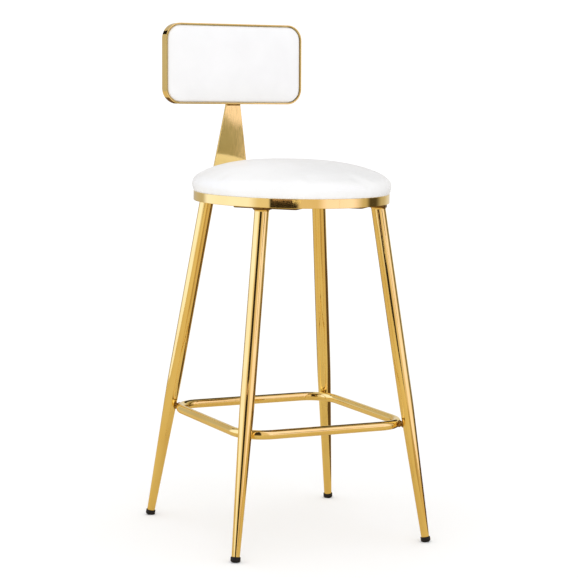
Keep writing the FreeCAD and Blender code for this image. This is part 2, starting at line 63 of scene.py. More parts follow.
CORNERS = {
    "front_left": (-1, -1),
    "front_right": (1, -1),
    "rear_left": (-1, 1),
    "rear_right": (1, 1),
}

NodeTree = bpy.types.NodeTree
Node = bpy.types.Node
Socket = bpy.types.NodeSocket
Material = bpy.types.Material
Piece = bpy.types.Object
Outline = list[tuple[float, float]]
Ring = list[Vector]
Faces = list[tuple[int, ...]]
Shape = tuple[list[Vector], Faces]
Hold = Callable[[Vector], float]


class Slot(Enum):
    """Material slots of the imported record."""

    GOLD = "gold_plated_steel"
    GLIDE = "black_glide"
    PLYWOOD = "plywood"
    HARDBOARD = "hardboard"
    FOAM = "foam"
    VINYL = "white_vinyl"
    CLOTH = "dust_cloth"
    ZINC = "zinc_steel"
    NYLON = "clip_plastic"


# ------------------------------------------------------------------------------ node helpers
def linear(hex_code: str) -> tuple[float, float, float, float]:
    """Turn an sRGB hex colour into linear RGBA.

    Args:
        hex_code: Colour such as "#FFE29B".

    Returns:
        Linear red, green, blue and an alpha of 1.
    """
    channels = [int(hex_code[i:i + 2], 16) / 255 for i in (1, 3, 5)]
    red, green, blue = [
        c / 12.92 if c <= 0.04045 else ((c + 0.055) / 1.055) ** 2.4 for c in channels
    ]
    return red, green, blue, 1.0


def light_colour(brightness: float, tint: str) -> list[float]:
    """Colour of a light surface, brighter than white where brightness is above 1."""
    return [brightness * c for c in linear(tint)[:3]] + [1.0]


def add_node(
    tree: NodeTree, kind: str, inputs: dict[str | int, object] | None = None, **settings: object
) -> Node:
    """Add one node with its settings, input values and links.

    Args:
        tree: Node tree that gets the node.
        kind: Blender's type name of the node.
        inputs: Input name or number to a value, or to the socket that feeds it.
        **settings: Properties of the node.

    Returns:
        The new node.
    """
    node = tree.nodes.new(kind)
    for name, value in settings.items():
        setattr(node, name, value)
    for key, value in (inputs or {}).items():
        if isinstance(value, Socket):
            tree.links.new(value, node.inputs[key])
        else:
            node.inputs[key].default_value = value
    return node


@dataclass(frozen=True)
class Surface:
    """A material while it is drawn: its node tree, its shader and the position of each point."""

    tree: NodeTree
    shader: Node
    coordinates: Socket

    def fix(self, values: dict[str, float]) -> None:
        """Set inputs of the shader that are the same all over the surface, by their names."""
        for name, value in values.items():
            self.shader.inputs[name].default_value = value

    def feed(self, name: str, source: Socket) -> None:
        """Let a pattern drive an input of the shader."""
        self.tree.links.new(source, self.shader.inputs[name])

    def grain(self, size: float | tuple[float, float, float], detail: float = 2.0) -> Socket:
        """Noise whose features are about as large as given.

        Args:
            size: Feature size in metres, the same all ways or one for each axis.
            detail: Octaves of finer noise.

        Returns:
            Noise from 0 to 1.
        """
        sizes = size if isinstance(size, tuple) else (size, size, size)
        scale = tuple(1 / s for s in sizes)
        scaled = add_node(
            self.tree, "ShaderNodeMapping", {"Vector": self.coordinates, "Scale": scale}
        )
        pattern = add_node(
            self.tree, "ShaderNodeTexNoise",
            {"Vector": scaled.outputs[0], "Scale": 1.0, "Detail": detail, "Roughness": 0.55},
        )
        return pattern.outputs["Fac"]

    def cells(self, size: float, inputs: dict[str, float], feature: str = "F1") -> Socket:
        """Cells about as large as given, from 0 in their middles upwards.

        Args:
            size: Cell size in metres.
            inputs: Further inputs of the pattern.
            feature: How neighbouring cells meet.

        Returns:
            Distance from the middle of each cell.
        """
        pattern = add_node(
            self.tree, "ShaderNodeTexVoronoi",
            {"Vector": self.coordinates, "Scale": 1 / size, **inputs}, feature=feature,
        )
        return pattern.outputs["Distance"]

    def spread(self, source: Socket, low: float, high: float) -> Socket:
        """Stretch the middle of a noise over a range.

        Args:
            source: Noise, most of it around 0.5.
            low: Result where the noise is low.
            high: Result where the noise is high.

        Returns:
            The stretched noise.
        """
        stretched = add_node(
            self.tree, "ShaderNodeMapRange",
            {"Value": source, "From Min": 0.3, "From Max": 0.7, "To Min": low, "To Max": high},
        )
        return stretched.outputs[0]

    def mottle(self, factor: Socket, base: str, accent: str) -> None:
        """Vary the colour between two.

        Args:
            factor: Share of the accent, from 0 to 1.
            base: Colour where the share is 0.
            accent: Colour where the share is 1.
        """
        mix = add_node(
            self.tree, "ShaderNodeMix", {0: factor, 6: linear(base), 7: linear(accent)},
            data_type="RGBA",
        )
        self.feed("Base Color", mix.outputs[2])

    def relief(self, *layers: tuple[Socket, float]) -> None:
        """Stack height patterns into the shader's normal.

        Args:
            *layers: Height pattern and its depth in metres, for each layer.
        """
        normal: Socket | None = None
        for height, depth in layers:
            inputs = {"Height": height, "Distance": depth, "Strength": 1.0}
            if normal is not None:
                inputs["Normal"] = normal
            normal = add_node(self.tree, "ShaderNodeBump", inputs).outputs[0]
        self.feed("Normal", normal)


# ------------------------------------------------------------------------------ finishes
@dataclass(frozen=True)
class Finish:
    """A surface finish. Sub-classes say what the real material is and draw it."""

    name: str
    base: str
    accent: str

    def build(self) -> Material:
        """Make the material.

        Returns:
            The finished material.
        """
        material = bpy.data.materials.new(self.name)
        material.use_nodes = True
        tree = material.node_tree
        tree.nodes.clear()
        coordinates = add_node(tree, "ShaderNodeTexCoord").outputs["Object"]
        shader = add_node(tree, "ShaderNodeBsdfPrincipled")
        add_node(tree, "ShaderNodeOutputMaterial", {"Surface": shader.outputs[0]})
        self.draw(Surface(tree, shader, coordinates))
        material.diffuse_color = linear(self.base)
        return material

    def draw(self, surface: Surface) -> None:
        """Connect the pattern of this finish to its shader."""
        raise NotImplementedError


@dataclass(frozen=True)
class PolishedGoldPlate(Finish):
    """Steel tube and flat bar, polished, then electroplated in gold.

    The eye gets a warm mirror. The polishing leaves faint marks along the tube and the plating
    follows the slight waviness of drawn steel.
    """

    name: str = "polished_gold_plate"
    base: str = "#FBE192"
    accent: str = "#F4D481"
    smooth: float = 0.035
    rubbed: float = 0.085
    tint_patch: float = 0.11
    wave: float = 0.045
    wave_depth: float = 0.00012
    buffing_width: float = 0.0016      # real marks are finer; drawn as wide as the render shows
    buffing_length: float = 0.0224
    buffing_depth: float = 0.000003

    def draw(self, surface: Surface) -> None:
        """Draw a warm mirror with rubbed patches, a slight wave and faint buffing marks.

        Args:
            surface: The material that is drawn.
        """
        patches = surface.grain(self.tint_patch)
        marks = surface.grain((self.buffing_width, self.buffing_width, self.buffing_length))
        wave = surface.grain(self.wave, detail=0.0)
        surface.mottle(surface.spread(patches, 0.0, 1.0), self.base, self.accent)
        surface.fix({"Metallic": 1.0})
        surface.feed("Roughness", surface.spread(marks, self.smooth, self.rubbed))
        surface.relief((wave, self.wave_depth), (marks, self.buffing_depth))


@dataclass(frozen=True)
class PlateEdgePaintedShade(PolishedGoldPlate):
    """Sheared edge of a plate: torn steel under thin plating, so dull and rough; its dark brown
    colour is painted shade of the band above it.
    """

    name: str = "sheared_edge_under_plating"
    base: str = "#8A6A36"
    accent: str = "#6A4E24"
    smooth: float = 0.28
    rubbed: float = 0.42


@dataclass(frozen=True)
class PlatedWeldPaintedShade(PolishedGoldPlate):
    """Weld left as it cooled and plated over: a duller gold than the bars around it; its darker
    colour is painted shade of the narrow gap between ring and leg where the stubs sit.
    """

    name: str = "weld_under_gold_plate"
    base: str = "#B98F48"
    accent: str = "#7C5B28"
    smooth: float = 0.16
    rubbed: float = 0.3
    tint_patch: float = 0.006


@dataclass(frozen=True)
class UpholsteryVinyl(Finish):
    """White PVC-coated upholstery cloth, embossed with a fine leather grain.

    The eye gets a soft white with a wide, satin highlight and a grain that only shows close up.
    """

    name: str = "white_upholstery_vinyl"
    base: str = "#EEEEEE"
    accent: str = "#EAEAEA"
    satin: float = 0.36
    dull: float = 0.5
    cell: float = 0.0018               # real cells are about 0.8 mm; drawn larger to show
    cell_depth: float = 0.00005
    crease: float = 0.00468
    crease_depth: float = 0.00004
    shade_patch: float = 0.06

    def draw(self, surface: Surface) -> None:
        """Draw embossed cells under a thin satin skin.

        Args:
            surface: The material that is drawn.
        """
        cells = surface.cells(self.cell, {"Smoothness": 0.6}, "SMOOTH_F1")
        creases = surface.grain(self.crease, detail=3.0)
        patches = surface.grain(self.shade_patch)
        surface.mottle(surface.spread(patches, 0.0, 1.0), self.base, self.accent)
        surface.feed("Roughness", surface.spread(creases, self.satin, self.dull))
        surface.fix({"IOR": 1.52, "Coat Weight": 0.12, "Coat Roughness": 0.3})
        surface.relief((creases, self.crease_depth), (cells, self.cell_depth))


@dataclass(frozen=True)
class MouldedBlackPlastic(Finish):
    """Black polyethylene glide, moulded in a spark-eroded tool and scuffed by the floor.

    The eye gets a near black, half matt surface with paler scuffs.
    """

    name: str = "moulded_black_polyethylene"
    base: str = "#070708"
    accent: str = "#18181A"
    fresh: float = 0.38
    worn: float = 0.62
    speckle: float = 0.0007
    speckle_depth: float = 0.00003
    scuff: float = 0.004

    def draw(self, surface: Surface) -> None:
        """Draw a fine mould texture with paler scuffed places.

        Args:
            surface: The material that is drawn.
        """
        speckles = surface.grain(self.speckle)
        scuffs = surface.grain(self.scuff, detail=4.0)
        surface.mottle(surface.spread(scuffs, 0.0, 1.0), self.base, self.accent)
        surface.feed("Roughness", surface.spread(scuffs, self.fresh, self.worn))
        surface.fix({"IOR": 1.51, "Specular IOR Level": 0.3})
        surface.relief((speckles, self.speckle_depth))


@dataclass(frozen=True)
class BrightZinc(Finish):
    """Steel fasteners with bright zinc plating: grey metal with a faint crystal mottle."""

    name: str = "bright_zinc_plate"
    base: str = "#C9CACB"
    accent: str = "#A9ABB0"
    bright: float = 0.22
    dull: float = 0.4
    crystal: float = 0.0009
    crystal_depth: float = 0.000008

    def draw(self, surface: Surface) -> None:
        """Draw mottled grey metal, half polished.

        Args:
            surface: The material that is drawn.
        """
        crystals = surface.grain(self.crystal)
        surface.mottle(surface.spread(crystals, 0.0, 1.0), self.base, self.accent)
        surface.fix({"Metallic": 1.0})
        surface.feed("Roughness", surface.spread(crystals, self.bright, self.dull))
        surface.relief((crystals, self.crystal_depth))


@dataclass(frozen=True)
class SpunbondCloth(Finish):
    """Black non-woven polypropylene, point-bonded: matt, fibrous, with rows of small dimples."""

    name: str = "black_spunbond_cloth"
    base: str = "#17171A"
    accent: str = "#2C2C31"
    dimple: float = 0.0022             # real dimples are about 1 mm apart; drawn larger to show
    dimple_depth: float = 0.00012
    fibre_width: float = 0.0006
    fibre_length: float = 0.0054
    fibre_depth: float = 0.00005

    def draw(self, surface: Surface) -> None:
        """Draw bonded dimples in a grid over loose fibres.

        Args:
            surface: The material that is drawn.
        """
        dimples = surface.cells(self.dimple, {"Randomness": 0.08})
        fibres = surface.grain((self.fibre_width, self.fibre_length, self.fibre_width), detail=3.0)
        surface.mottle(surface.spread(fibres, 0.0, 1.0), self.base, self.accent)
        surface.fix({"Roughness": 0.88, "Sheen Weight": 0.25})
        surface.relief((dimples, self.dimple_depth), (fibres, self.fibre_depth))


class Wood(Enum):
    """Boards of the seat and backrest: name, base colour and colour of the grain."""

    BIRCH_PLY = ("birch_plywood", "#D9BE93", "#B8935F")
    HARDBOARD = ("pressed_hardboard", "#6B4A30", "#4E3522")


@dataclass(frozen=True)
class BareBoard(Finish):
    """Unfinished board: long grain lines, matt, slightly furry at the surface."""

    line: float = 0.0016
    line_length: float = 0.04
    line_depth: float = 0.00008
    planed: float = 0.6
    furry: float = 0.8

    def draw(self, surface: Surface) -> None:
        """Draw grain lines that run along X.

        Args:
            surface: The material that is drawn.
        """
        lines = surface.grain((self.line_length, self.line, self.line), detail=4.0)
        surface.mottle(surface.spread(lines, 0.0, 1.0), self.base, self.accent)
        surface.feed("Roughness", surface.spread(lines, self.planed, self.furry))
        surface.relief((lines, self.line_depth))


@dataclass(frozen=True)
class CellularSolid(Finish):
    """Foam or nylon: a pale polymer whose surface is broken up into small cells."""

    cell: float = 0.0014
    depth: float = 0.0002
    roughness: float = 0.9

    def draw(self, surface: Surface) -> None:
        """Draw small open cells.

        Args:
            surface: The material that is drawn.
        """
        cells = surface.cells(self.cell, {})
        surface.mottle(cells, self.base, self.accent)
        surface.fix({"Roughness": self.roughness, "Subsurface Weight": 0.05})
        surface.relief((cells, self.depth))


@dataclass(frozen=True)
class StudioPaper(Finish):
    """White seamless paper under the stool: matt, with a barely visible tooth.

    It has no sheen at shallow angles, where a glossy floor would show a horizon.
    """

    name: str = "white_studio_paper"
    base: str = "#FAFAFA"
    accent: str = "#F8F8F8"
    tooth: float = 0.003

    def draw(self, surface: Surface) -> None:
        """Draw plain matt white.

        Args:
            surface: The material that is drawn.
        """
        tooth = surface.grain(self.tooth)
        surface.mottle(surface.spread(tooth, 0.0, 1.0), self.base, self.accent)
        surface.fix({"Roughness": 0.9, "Specular IOR Level": 0.0})


class Finishes:
    """Every material of the stool, made once."""

    def __init__(self) -> None:
        """Build the materials: one for each record slot, and two that only finished pieces have."""
        self.by_slot: dict[Slot, Material] = {
            Slot.GOLD: PolishedGoldPlate().build(),
            Slot.GLIDE: MouldedBlackPlastic().build(),
            Slot.PLYWOOD: BareBoard(*Wood.BIRCH_PLY.value).build(),
            Slot.HARDBOARD: BareBoard(
                *Wood.HARDBOARD.value, line=0.004, line_length=0.1
            ).build(),
            Slot.FOAM: CellularSolid("polyurethane_foam", "#F2EBD3", "#DDD2B0").build(),
            Slot.VINYL: UpholsteryVinyl().build(),
            Slot.CLOTH: SpunbondCloth().build(),
            Slot.ZINC: BrightZinc().build(),
            Slot.NYLON: CellularSolid(
                "natural_nylon", "#E6E4DC", "#DAD7CC", cell=0.0005, depth=0.00001, roughness=0.4
            ).build(),
        }
        # weld finish: duller gold, darkened with painted shade
        self.weld = PlatedWeldPaintedShade().build()
        # the plates' side faces: dull sheared steel, darkened with painted shade of the band above
        self.painted_shade_edge = PlateEdgePaintedShade().build()

    def __getitem__(self, slot: Slot) -> Material:
        """Material of a slot."""
        return self.by_slot[slot]

    def dress_frame(self) -> None:
        """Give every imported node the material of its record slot."""
        slots = {p["node"]: p["material_slot"] for p in FRAME["record"]["subparts"]}
        for node, obj in FRAME["nodes"].items():
            material = self.by_slot[Slot(slots[node])]
            if not obj.material_slots:
                obj.data.materials.append(material)
            for place in obj.material_slots:
                place.material = material


# ------------------------------------------------------------------------------ mesh helpers
def rounded_outline(corners: Sequence[tuple[float, float, float]], steps: int = 4) -> Outline:
    """Closed outline whose corners are arcs.

    Args:
        corners: x, y and radius of each corner, in order.
        steps: Segments in each arc.

    Returns:
        Points of the outline, without repeating the first.
    """
    points: Outline = []
    count = len(corners)
    for k, (x, y, radius) in enumerate(corners):
        here = Vector((x, y))
        back = (Vector(corners[k - 1][:2]) - here).normalized()
        ahead = (Vector(corners[(k + 1) % count][:2]) - here).normalized()
        half = back.angle(ahead) / 2
        straight = abs(half - math.pi / 2) < 1e-4
        if radius <= 0 or straight:
            points.append((x, y))
            continue
        centre = here + (back + ahead).normalized() * (radius / math.sin(half))
        start = here + back * (radius / math.tan(half)) - centre
        end = here + ahead * (radius / math.tan(half)) - centre
        turn = start.angle_signed(end)
        for step in range(steps + 1):
            spoke = start.copy()
            spoke.rotate(Matrix.Rotation(-turn * step / steps, 2))
            points.append(tuple(centre + spoke))
    return points


def rounded_box_outline(width: float, height: float, radius: float, steps: int = 4) -> Outline:
    """Closed outline of a rounded rectangle about the origin.

    Args:
        width: Size along the first axis.
        height: Size along the second axis.
        radius: Radius of the corners.
        steps: Segments in each corner.

    Returns:
        Points of the outline.
    """
    x, y = width / 2, height / 2
    corners = [(x, -y, radius), (x, y, radius), (-x, y, radius), (-x, -y, radius)]
    return rounded_outline(corners, steps)


def skin(rings: Sequence[Ring], closed: bool) -> Shape:
    """Vertices and faces of the surface through rings of equal length.

    Args:
        rings: Rings, each a closed loop of points.
        closed: Join the last ring to the first. Otherwise the two ends are capped.

    Returns:
        Vertices and faces.
    """
    size = len(rings[0])
    vertices = [p for ring in rings for p in ring]
    faces: Faces = []
    for k in range(len(rings) if closed else len(rings) - 1):
        a, b = k * size, (k + 1) % len(rings) * size
        for i in range(size):
            j = (i + 1) % size
            faces.append((a + i, a + j, b + j, b + i))
    if not closed:
        faces.append(tuple(range(size)))
        faces.append(tuple(range(len(vertices) - size, len(vertices))))
    return vertices, faces


def link(name: str, mesh: bpy.types.Mesh) -> Piece:
    """Put a mesh in the scene as an object at the origin.

    Args:
        name: Name of the object.
        mesh: Its mesh.

    Returns:
        The object.
    """
    obj = bpy.data.objects.new(name, mesh)
    bpy.context.scene.collection.objects.link(obj)
    return obj


def make_piece(
    name: str, shape: Shape, material: Material,
    sharp: float = 50.0,
) -> Piece:
    """Object from vertices and faces, merged, facing outwards and smooth.

    Args:
        name: Name of the piece.
        shape: Vertices and faces.
        material: Its material.
        sharp: Angle in degrees above which an edge stays hard.

    Returns:
        The new object.
    """
    mesh = bpy.data.meshes.new(name)
    mesh.from_pydata([tuple(v) for v in shape[0]], [], shape[1])
    form = bmesh.new()
    form.from_mesh(mesh)
    bmesh.ops.remove_doubles(form, verts=form.verts, dist=SAME_POINT)
    bmesh.ops.dissolve_degenerate(form, edges=form.edges, dist=0.1 * SAME_POINT)
    bmesh.ops.recalc_face_normals(form, faces=form.faces)
    form.to_mesh(mesh)
    form.free()
    mesh.shade_smooth()
    mesh.set_sharp_from_angle(angle=math.radians(sharp))
    mesh.materials.append(material)
    return link(name, mesh)


def bake_modifiers(obj: Piece) -> None:
    """Turn the evaluated object into a plain mesh and drop its modifiers.

    Args:
        obj: The object, which gets the new mesh.
    """
    bpy.context.view_layer.update()
    evaluated = obj.evaluated_get(bpy.context.evaluated_depsgraph_get())
    mesh = bpy.data.meshes.new_from_object(evaluated)
    obj.modifiers.clear()
    obj.data = mesh


def discard(obj: Piece) -> None:
    """Remove a helper object and its mesh.

    Args:
        obj: The helper.
    """
    mesh = obj.data
    bpy.data.objects.remove(obj)
    bpy.data.meshes.remove(mesh)


def weight_normals(obj: Piece) -> None:
    """Let the large faces of a hard piece keep their own direction, so that flats read as flat."""
    obj.modifiers.new("flats", "WEIGHTED_NORMAL").keep_sharp = True
    bake_modifiers(obj)


def turn_normals(obj: Piece, facing: Vector, angle: float) -> None:
    """Turn the shading of one side a little about X, as on a flat bar that isn't dead straight.

    Args:
        obj: The piece.
        facing: Direction of the side.
        angle: Turn in degrees, positive upwards for a side that faces -Y.
    """
    mesh = obj.data
    turn = Matrix.Rotation(math.radians(-angle), 3, "X")
    on_side = 0.95
    normals = [Vector(corner.vector) for corner in mesh.corner_normals]
    mesh.normals_split_custom_set([
        tuple(turn @ n) if n.dot(facing) > on_side else tuple(n) for n in normals
    ])


def spin(profile: Sequence[tuple[float, float]], segments: int, frame: Matrix) -> list[Ring]:
    """Rings of a turned shape.

    Args:
        profile: Radius and height of each ring.
        segments: Points in each ring.
        frame: Placement whose Z is the turning axis.

    Returns:
        One ring for each point of the profile.
    """
    return [
        [
            frame @ Vector((
                radius * math.cos(math.tau * i / segments),
                radius * math.sin(math.tau * i / segments),
                height,
            ))
            for i in range(segments)
        ]
        for radius, height in profile
    ]


def frame_along(origin: Vector, axis: Vector, side: Vector) -> Matrix:
    """Placement with its Z along an axis.

    Args:
        origin: Its origin.
        axis: Direction of its Z.
        side: Direction that its X comes as near to as it can.

    Returns:
        The placement.
    """
    z = axis.normalized()
    y = z.cross(side).normalized()
    x = y.cross(z)
    turned = Matrix((x, y, z)).transposed().to_4x4()
    return Matrix.Translation(origin) @ turned


def solids_of(node: str) -> list[tuple[Vector, Vector]]:
    """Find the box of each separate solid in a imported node.

    Args:
        node: Name of the node.

    Returns:
        Lowest and highest corner of each box.
    """
    form = bmesh.new()
    form.from_mesh(FRAME["nodes"][node].data)
    bmesh.ops.remove_doubles(form, verts=form.verts, dist=SAME_POINT)
    seen: set[bmesh.types.BMVert] = set()
    boxes = []
    for start in form.verts:
        if start in seen:
            continue
        island, queue = [], [start]
        seen.add(start)
        while queue:
            vertex = queue.pop()
            island.append(vertex.co.copy())
            for edge in vertex.link_edges:
                other = edge.other_vert(vertex)
                if other not in seen:
                    seen.add(other)
                    queue.append(other)
        low = Vector([min(p[k] for p in island) for k in range(3)])
        high = Vector([max(p[k] for p in island) for k in range(3)])
        boxes.append((low, high))
    form.free()
    return boxes


def settle(piece: Piece, slot: Slot, *nodes: str) -> None:
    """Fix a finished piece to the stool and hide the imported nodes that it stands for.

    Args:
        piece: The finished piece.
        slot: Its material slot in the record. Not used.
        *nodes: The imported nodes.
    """
    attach(piece, BODY)
    if nodes:
        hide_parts(*nodes)
    LOG.info("%s: %d faces", piece.name, len(piece.data.polygons))


# ------------------------------------------------------------------------------ geometry trees
class Tree:
    """A Geometry Nodes tree built in code, with named inputs."""

    def __init__(self, name: str, inputs: dict[str, str]) -> None:
        """Start the tree.

        Args:
            name: Name of the tree.
            inputs: Name of each input to its socket type.
        """
        self.tree = bpy.data.node_groups.new(name, "GeometryNodeTree")
        for way in ("OUTPUT", "INPUT"):
            self.tree.interface.new_socket("Geometry", in_out=way, socket_type="NodeSocketGeometry")
        self.names = {
            key: self.tree.interface.new_socket(key, in_out="INPUT", socket_type=kind).identifier
            for key, kind in inputs.items()
        }
        self.inputs = self.add("NodeGroupInput").outputs

    def add(
        self, kind: str, inputs: dict[str | int, object] | None = None, **settings: object
    ) -> Node:
        """Add a node to this tree. Arguments and result are those of add_node."""
        return add_node(self.tree, kind, inputs, **settings)

    def end(self, geometry: Socket, smooth: bool = True) -> None:
        """Finish with smooth shading, real geometry and the material.

        Args:
            geometry: What the tree has made.
            smooth: Shade smooth.
        """
        real = self.add("GeometryNodeRealizeInstances", {"Geometry": geometry}).outputs[0]
        shaded = self.add(
            "GeometryNodeSetShadeSmooth", {"Geometry": real, "Shade Smooth": smooth}
        ).outputs[0]
        painted = self.add(
            "GeometryNodeSetMaterial", {"Geometry": shaded, "Material": self.inputs["Material"]}
        ).outputs[0]
        self.add("NodeGroupOutput", {"Geometry": painted})

    def grow(
        self, name: str, values: dict[str, object], base: bpy.types.Mesh | None = None
    ) -> Piece:
        """Run the tree on a new object and keep the result as a plain mesh.

        Args:
            name: Name of the piece.
            values: Value of each input.
            base: Mesh that the tree starts from.

        Returns:
            The new object.
        """
        obj = link(name, base or bpy.data.meshes.new(name))
        modifier = obj.modifiers.new(self.tree.name, "NODES")
        modifier.node_group = self.tree
        for key, value in values.items():
            modifier[self.names[key]] = value
        bake_modifiers(obj)
        obj.data.name = name
        return obj


def swept_bar_tree() -> Tree:
    """Tree for a closed bar of rounded section that follows a rounded rectangle in XY.

    Returns:
        The tree, with the sizes of the path and of the section as its inputs.
    """
    lengths = (
        "Path Width", "Path Length", "Corner Radius", "Bar Width", "Bar Height", "Edge Radius",
    )
    kinds = {name: "NodeSocketFloat" for name in lengths}
    kinds |= {"Corner Steps": "NodeSocketInt", "Edge Steps": "NodeSocketInt"}
    tree = Tree("swept_bar", kinds | {"Material": "NodeSocketMaterial"})

    def rounded(width: str, height: str, radius: str, steps: str) -> Socket:
        """Rounded rectangle from four named inputs.

        Args:
            width: Input for its size along X.
            height: Input for its size along Y.
            radius: Input for the radius of its corners.
            steps: Input for the segments of each corner.

        Returns:
            The curve.
        """
        plain = tree.add(
            "GeometryNodeCurvePrimitiveQuadrilateral",
            {"Width": tree.inputs[width], "Height": tree.inputs[height]},
        ).outputs[0]
        return tree.add(
            "GeometryNodeFilletCurve",
            {"Curve": plain, "Radius": tree.inputs[radius], "Count": tree.inputs[steps]},
            mode="POLY",
        ).outputs[0]

    path = rounded("Path Width", "Path Length", "Corner Radius", "Corner Steps")
    section = rounded("Bar Width", "Bar Height", "Edge Radius", "Edge Steps")
    bar = tree.add("GeometryNodeCurveToMesh", {"Curve": path, "Profile Curve": section}).outputs[0]
    merged = tree.add(
        "GeometryNodeMergeByDistance", {"Geometry": bar, "Distance": SAME_POINT}
    ).outputs[0]
    tree.end(merged)
    return tree


def weld_bead_tree() -> Tree:
    """Tree for a straight weld bead, its ripples as a real torch leaves them.

    Returns:
        The tree, with the ends of the bead, its radius and its ripples as inputs.
    """
    rings_per_ripple = 6.0
    ripple_swell = 0.07
    end_radius = 0.35
    end_length = 0.1
    sides = 12
    tree = Tree("weld_bead", {
        "Start": "NodeSocketVector", "End": "NodeSocketVector", "Radius": "NodeSocketFloat",
        "Ripples": "NodeSocketInt", "Seed": "NodeSocketInt", "Material": "NodeSocketMaterial",
    })
    line = tree.add(
        "GeometryNodeCurvePrimitiveLine", {"Start": tree.inputs["Start"], "End": tree.inputs["End"]}
    ).outputs[0]
    count = tree.add(
        "ShaderNodeMath", {0: tree.inputs["Ripples"], 1: rings_per_ripple}, operation="MULTIPLY"
    ).outputs[0]
    dense = tree.add("GeometryNodeResampleCurve", {"Curve": line, "Count": count}).outputs[0]
    along = tree.add("GeometryNodeSplineParameter").outputs["Factor"]
    turns = tree.add(
        "ShaderNodeMath", {0: tree.inputs["Ripples"], 1: math.tau}, operation="MULTIPLY"
    )
    phase = tree.add("ShaderNodeMath", {0: along, 1: turns.outputs[0]}, operation="MULTIPLY")
    wave = tree.add("ShaderNodeMath", {0: phase.outputs[0]}, operation="SINE").outputs[0]
    uneven = tree.add(
        "FunctionNodeRandomValue", {2: 0.9, 3: 1.06, "Seed": tree.inputs["Seed"]}, data_type="FLOAT"
    ).outputs[1]
    swell = tree.add(
        "ShaderNodeMath", {0: wave, 1: ripple_swell, 2: uneven}, operation="MULTIPLY_ADD"
    )
    ends = tree.add("ShaderNodeFloatCurve", {"Value": along})
    curve = ends.mapping.curves[0]
    curve.points[0].location = (0.0, end_radius)
    curve.points[1].location = (1.0, end_radius)
    curve.points.new(end_length, 1.0)
    curve.points.new(1.0 - end_length, 1.0)
    ends.mapping.update()
    radius = tree.add(
        "ShaderNodeMath", {0: swell.outputs[0], 1: ends.outputs[0]}, operation="MULTIPLY"
    ).outputs[0]
    thick = tree.add("GeometryNodeSetCurveRadius", {"Curve": dense, "Radius": radius}).outputs[0]
    ring = tree.add(
        "GeometryNodeCurvePrimitiveCircle", {"Resolution": sides, "Radius": tree.inputs["Radius"]}
    ).outputs[0]
    bead = tree.add(
        "GeometryNodeCurveToMesh",
        {"Curve": thick, "Profile Curve": ring, "Scale": radius, "Fill Caps": True},
    ).outputs[0]
    tree.end(bead)
    return tree


def fastener_tree() -> Tree:
    """Tree that sets one fastener at each vertex, turned by its attribute and a little jitter.

    Returns:
        The tree, with the fastener, its two jitter angles and a seed as inputs.
    """
    tree = Tree("fastener_row", {
        "Fastener": "NodeSocketObject", "Free Turn": "NodeSocketFloat", "Tilt": "NodeSocketFloat",
        "Seed": "NodeSocketInt", "Material": "NodeSocketMaterial",
    })
    pattern = tree.add(
        "GeometryNodeObjectInfo", {"Object": tree.inputs["Fastener"]}, transform_space="ORIGINAL"
    ).outputs["Geometry"]
    turn = tree.add(
        "GeometryNodeInputNamedAttribute", {"Name": "turn"}, data_type="FLOAT_VECTOR"
    ).outputs["Attribute"]
    reach = tree.add(
        "ShaderNodeCombineXYZ",
        {"X": tree.inputs["Tilt"], "Y": tree.inputs["Tilt"], "Z": tree.inputs["Free Turn"]},
    ).outputs[0]
    lowest = tree.add(
        "ShaderNodeVectorMath", {0: reach, "Scale": -1.0}, operation="SCALE"
    ).outputs[0]
    jitter = tree.add(
        "FunctionNodeRandomValue",
        {0: lowest, 1: reach, "Seed": tree.inputs["Seed"]}, data_type="FLOAT_VECTOR",
    ).outputs[0]
    whole = tree.add(
        "FunctionNodeRotateEuler", {"Rotation": turn, "Rotate By": jitter}, space="LOCAL"
    ).outputs[0]
    placed = tree.add(
        "GeometryNodeInstanceOnPoints",
        {"Points": tree.inputs["Geometry"], "Instance": pattern, "Rotation": whole},
    ).outputs[0]
    tree.end(placed)
    return tree


@dataclass
class FastenerRow:
    """A group of like fasteners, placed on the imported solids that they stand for."""

    tree: Tree
    name: str
    node: str
    free_turn: float = 0.0             # largest turn about its own axis, in radians
    tilt: float = 0.0                  # largest lean to either side, in radians
    seed: int = 1
    sharp: float = 35.0                # angle in degrees above which an edge stays hard

    def build(
        self, pattern: Piece, place: Callable[[Vector, Vector], tuple[Vector, Vector]],
        material: Material,
    ) -> Piece:
        """Set the fasteners.

        Args:
            pattern: One fastener about the origin. It is removed afterwards.
            place: From the corners of a solid to the fastener's point and its turn.
            material: Its material.

        Returns:
            The piece that holds all of them.
        """
        places = [place(low, high) for low, high in solids_of(self.node)]
        base = bpy.data.meshes.new(self.name)
        base.from_pydata([tuple(point) for point, _ in places], [], [])
        turns = base.attributes.new("turn", "FLOAT_VECTOR", "POINT")
        for value, (_, turn) in zip(turns.data, places):
            value.vector = turn
        piece = self.tree.grow(self.name, {
            "Fastener": pattern, "Free Turn": self.free_turn, "Tilt": self.tilt,
            "Seed": self.seed, "Material": material,
        }, base)
        piece.data.set_sharp_from_angle(angle=math.radians(self.sharp))
        discard(pattern)
        settle(piece, Slot.ZINC, self.node)
        return piece


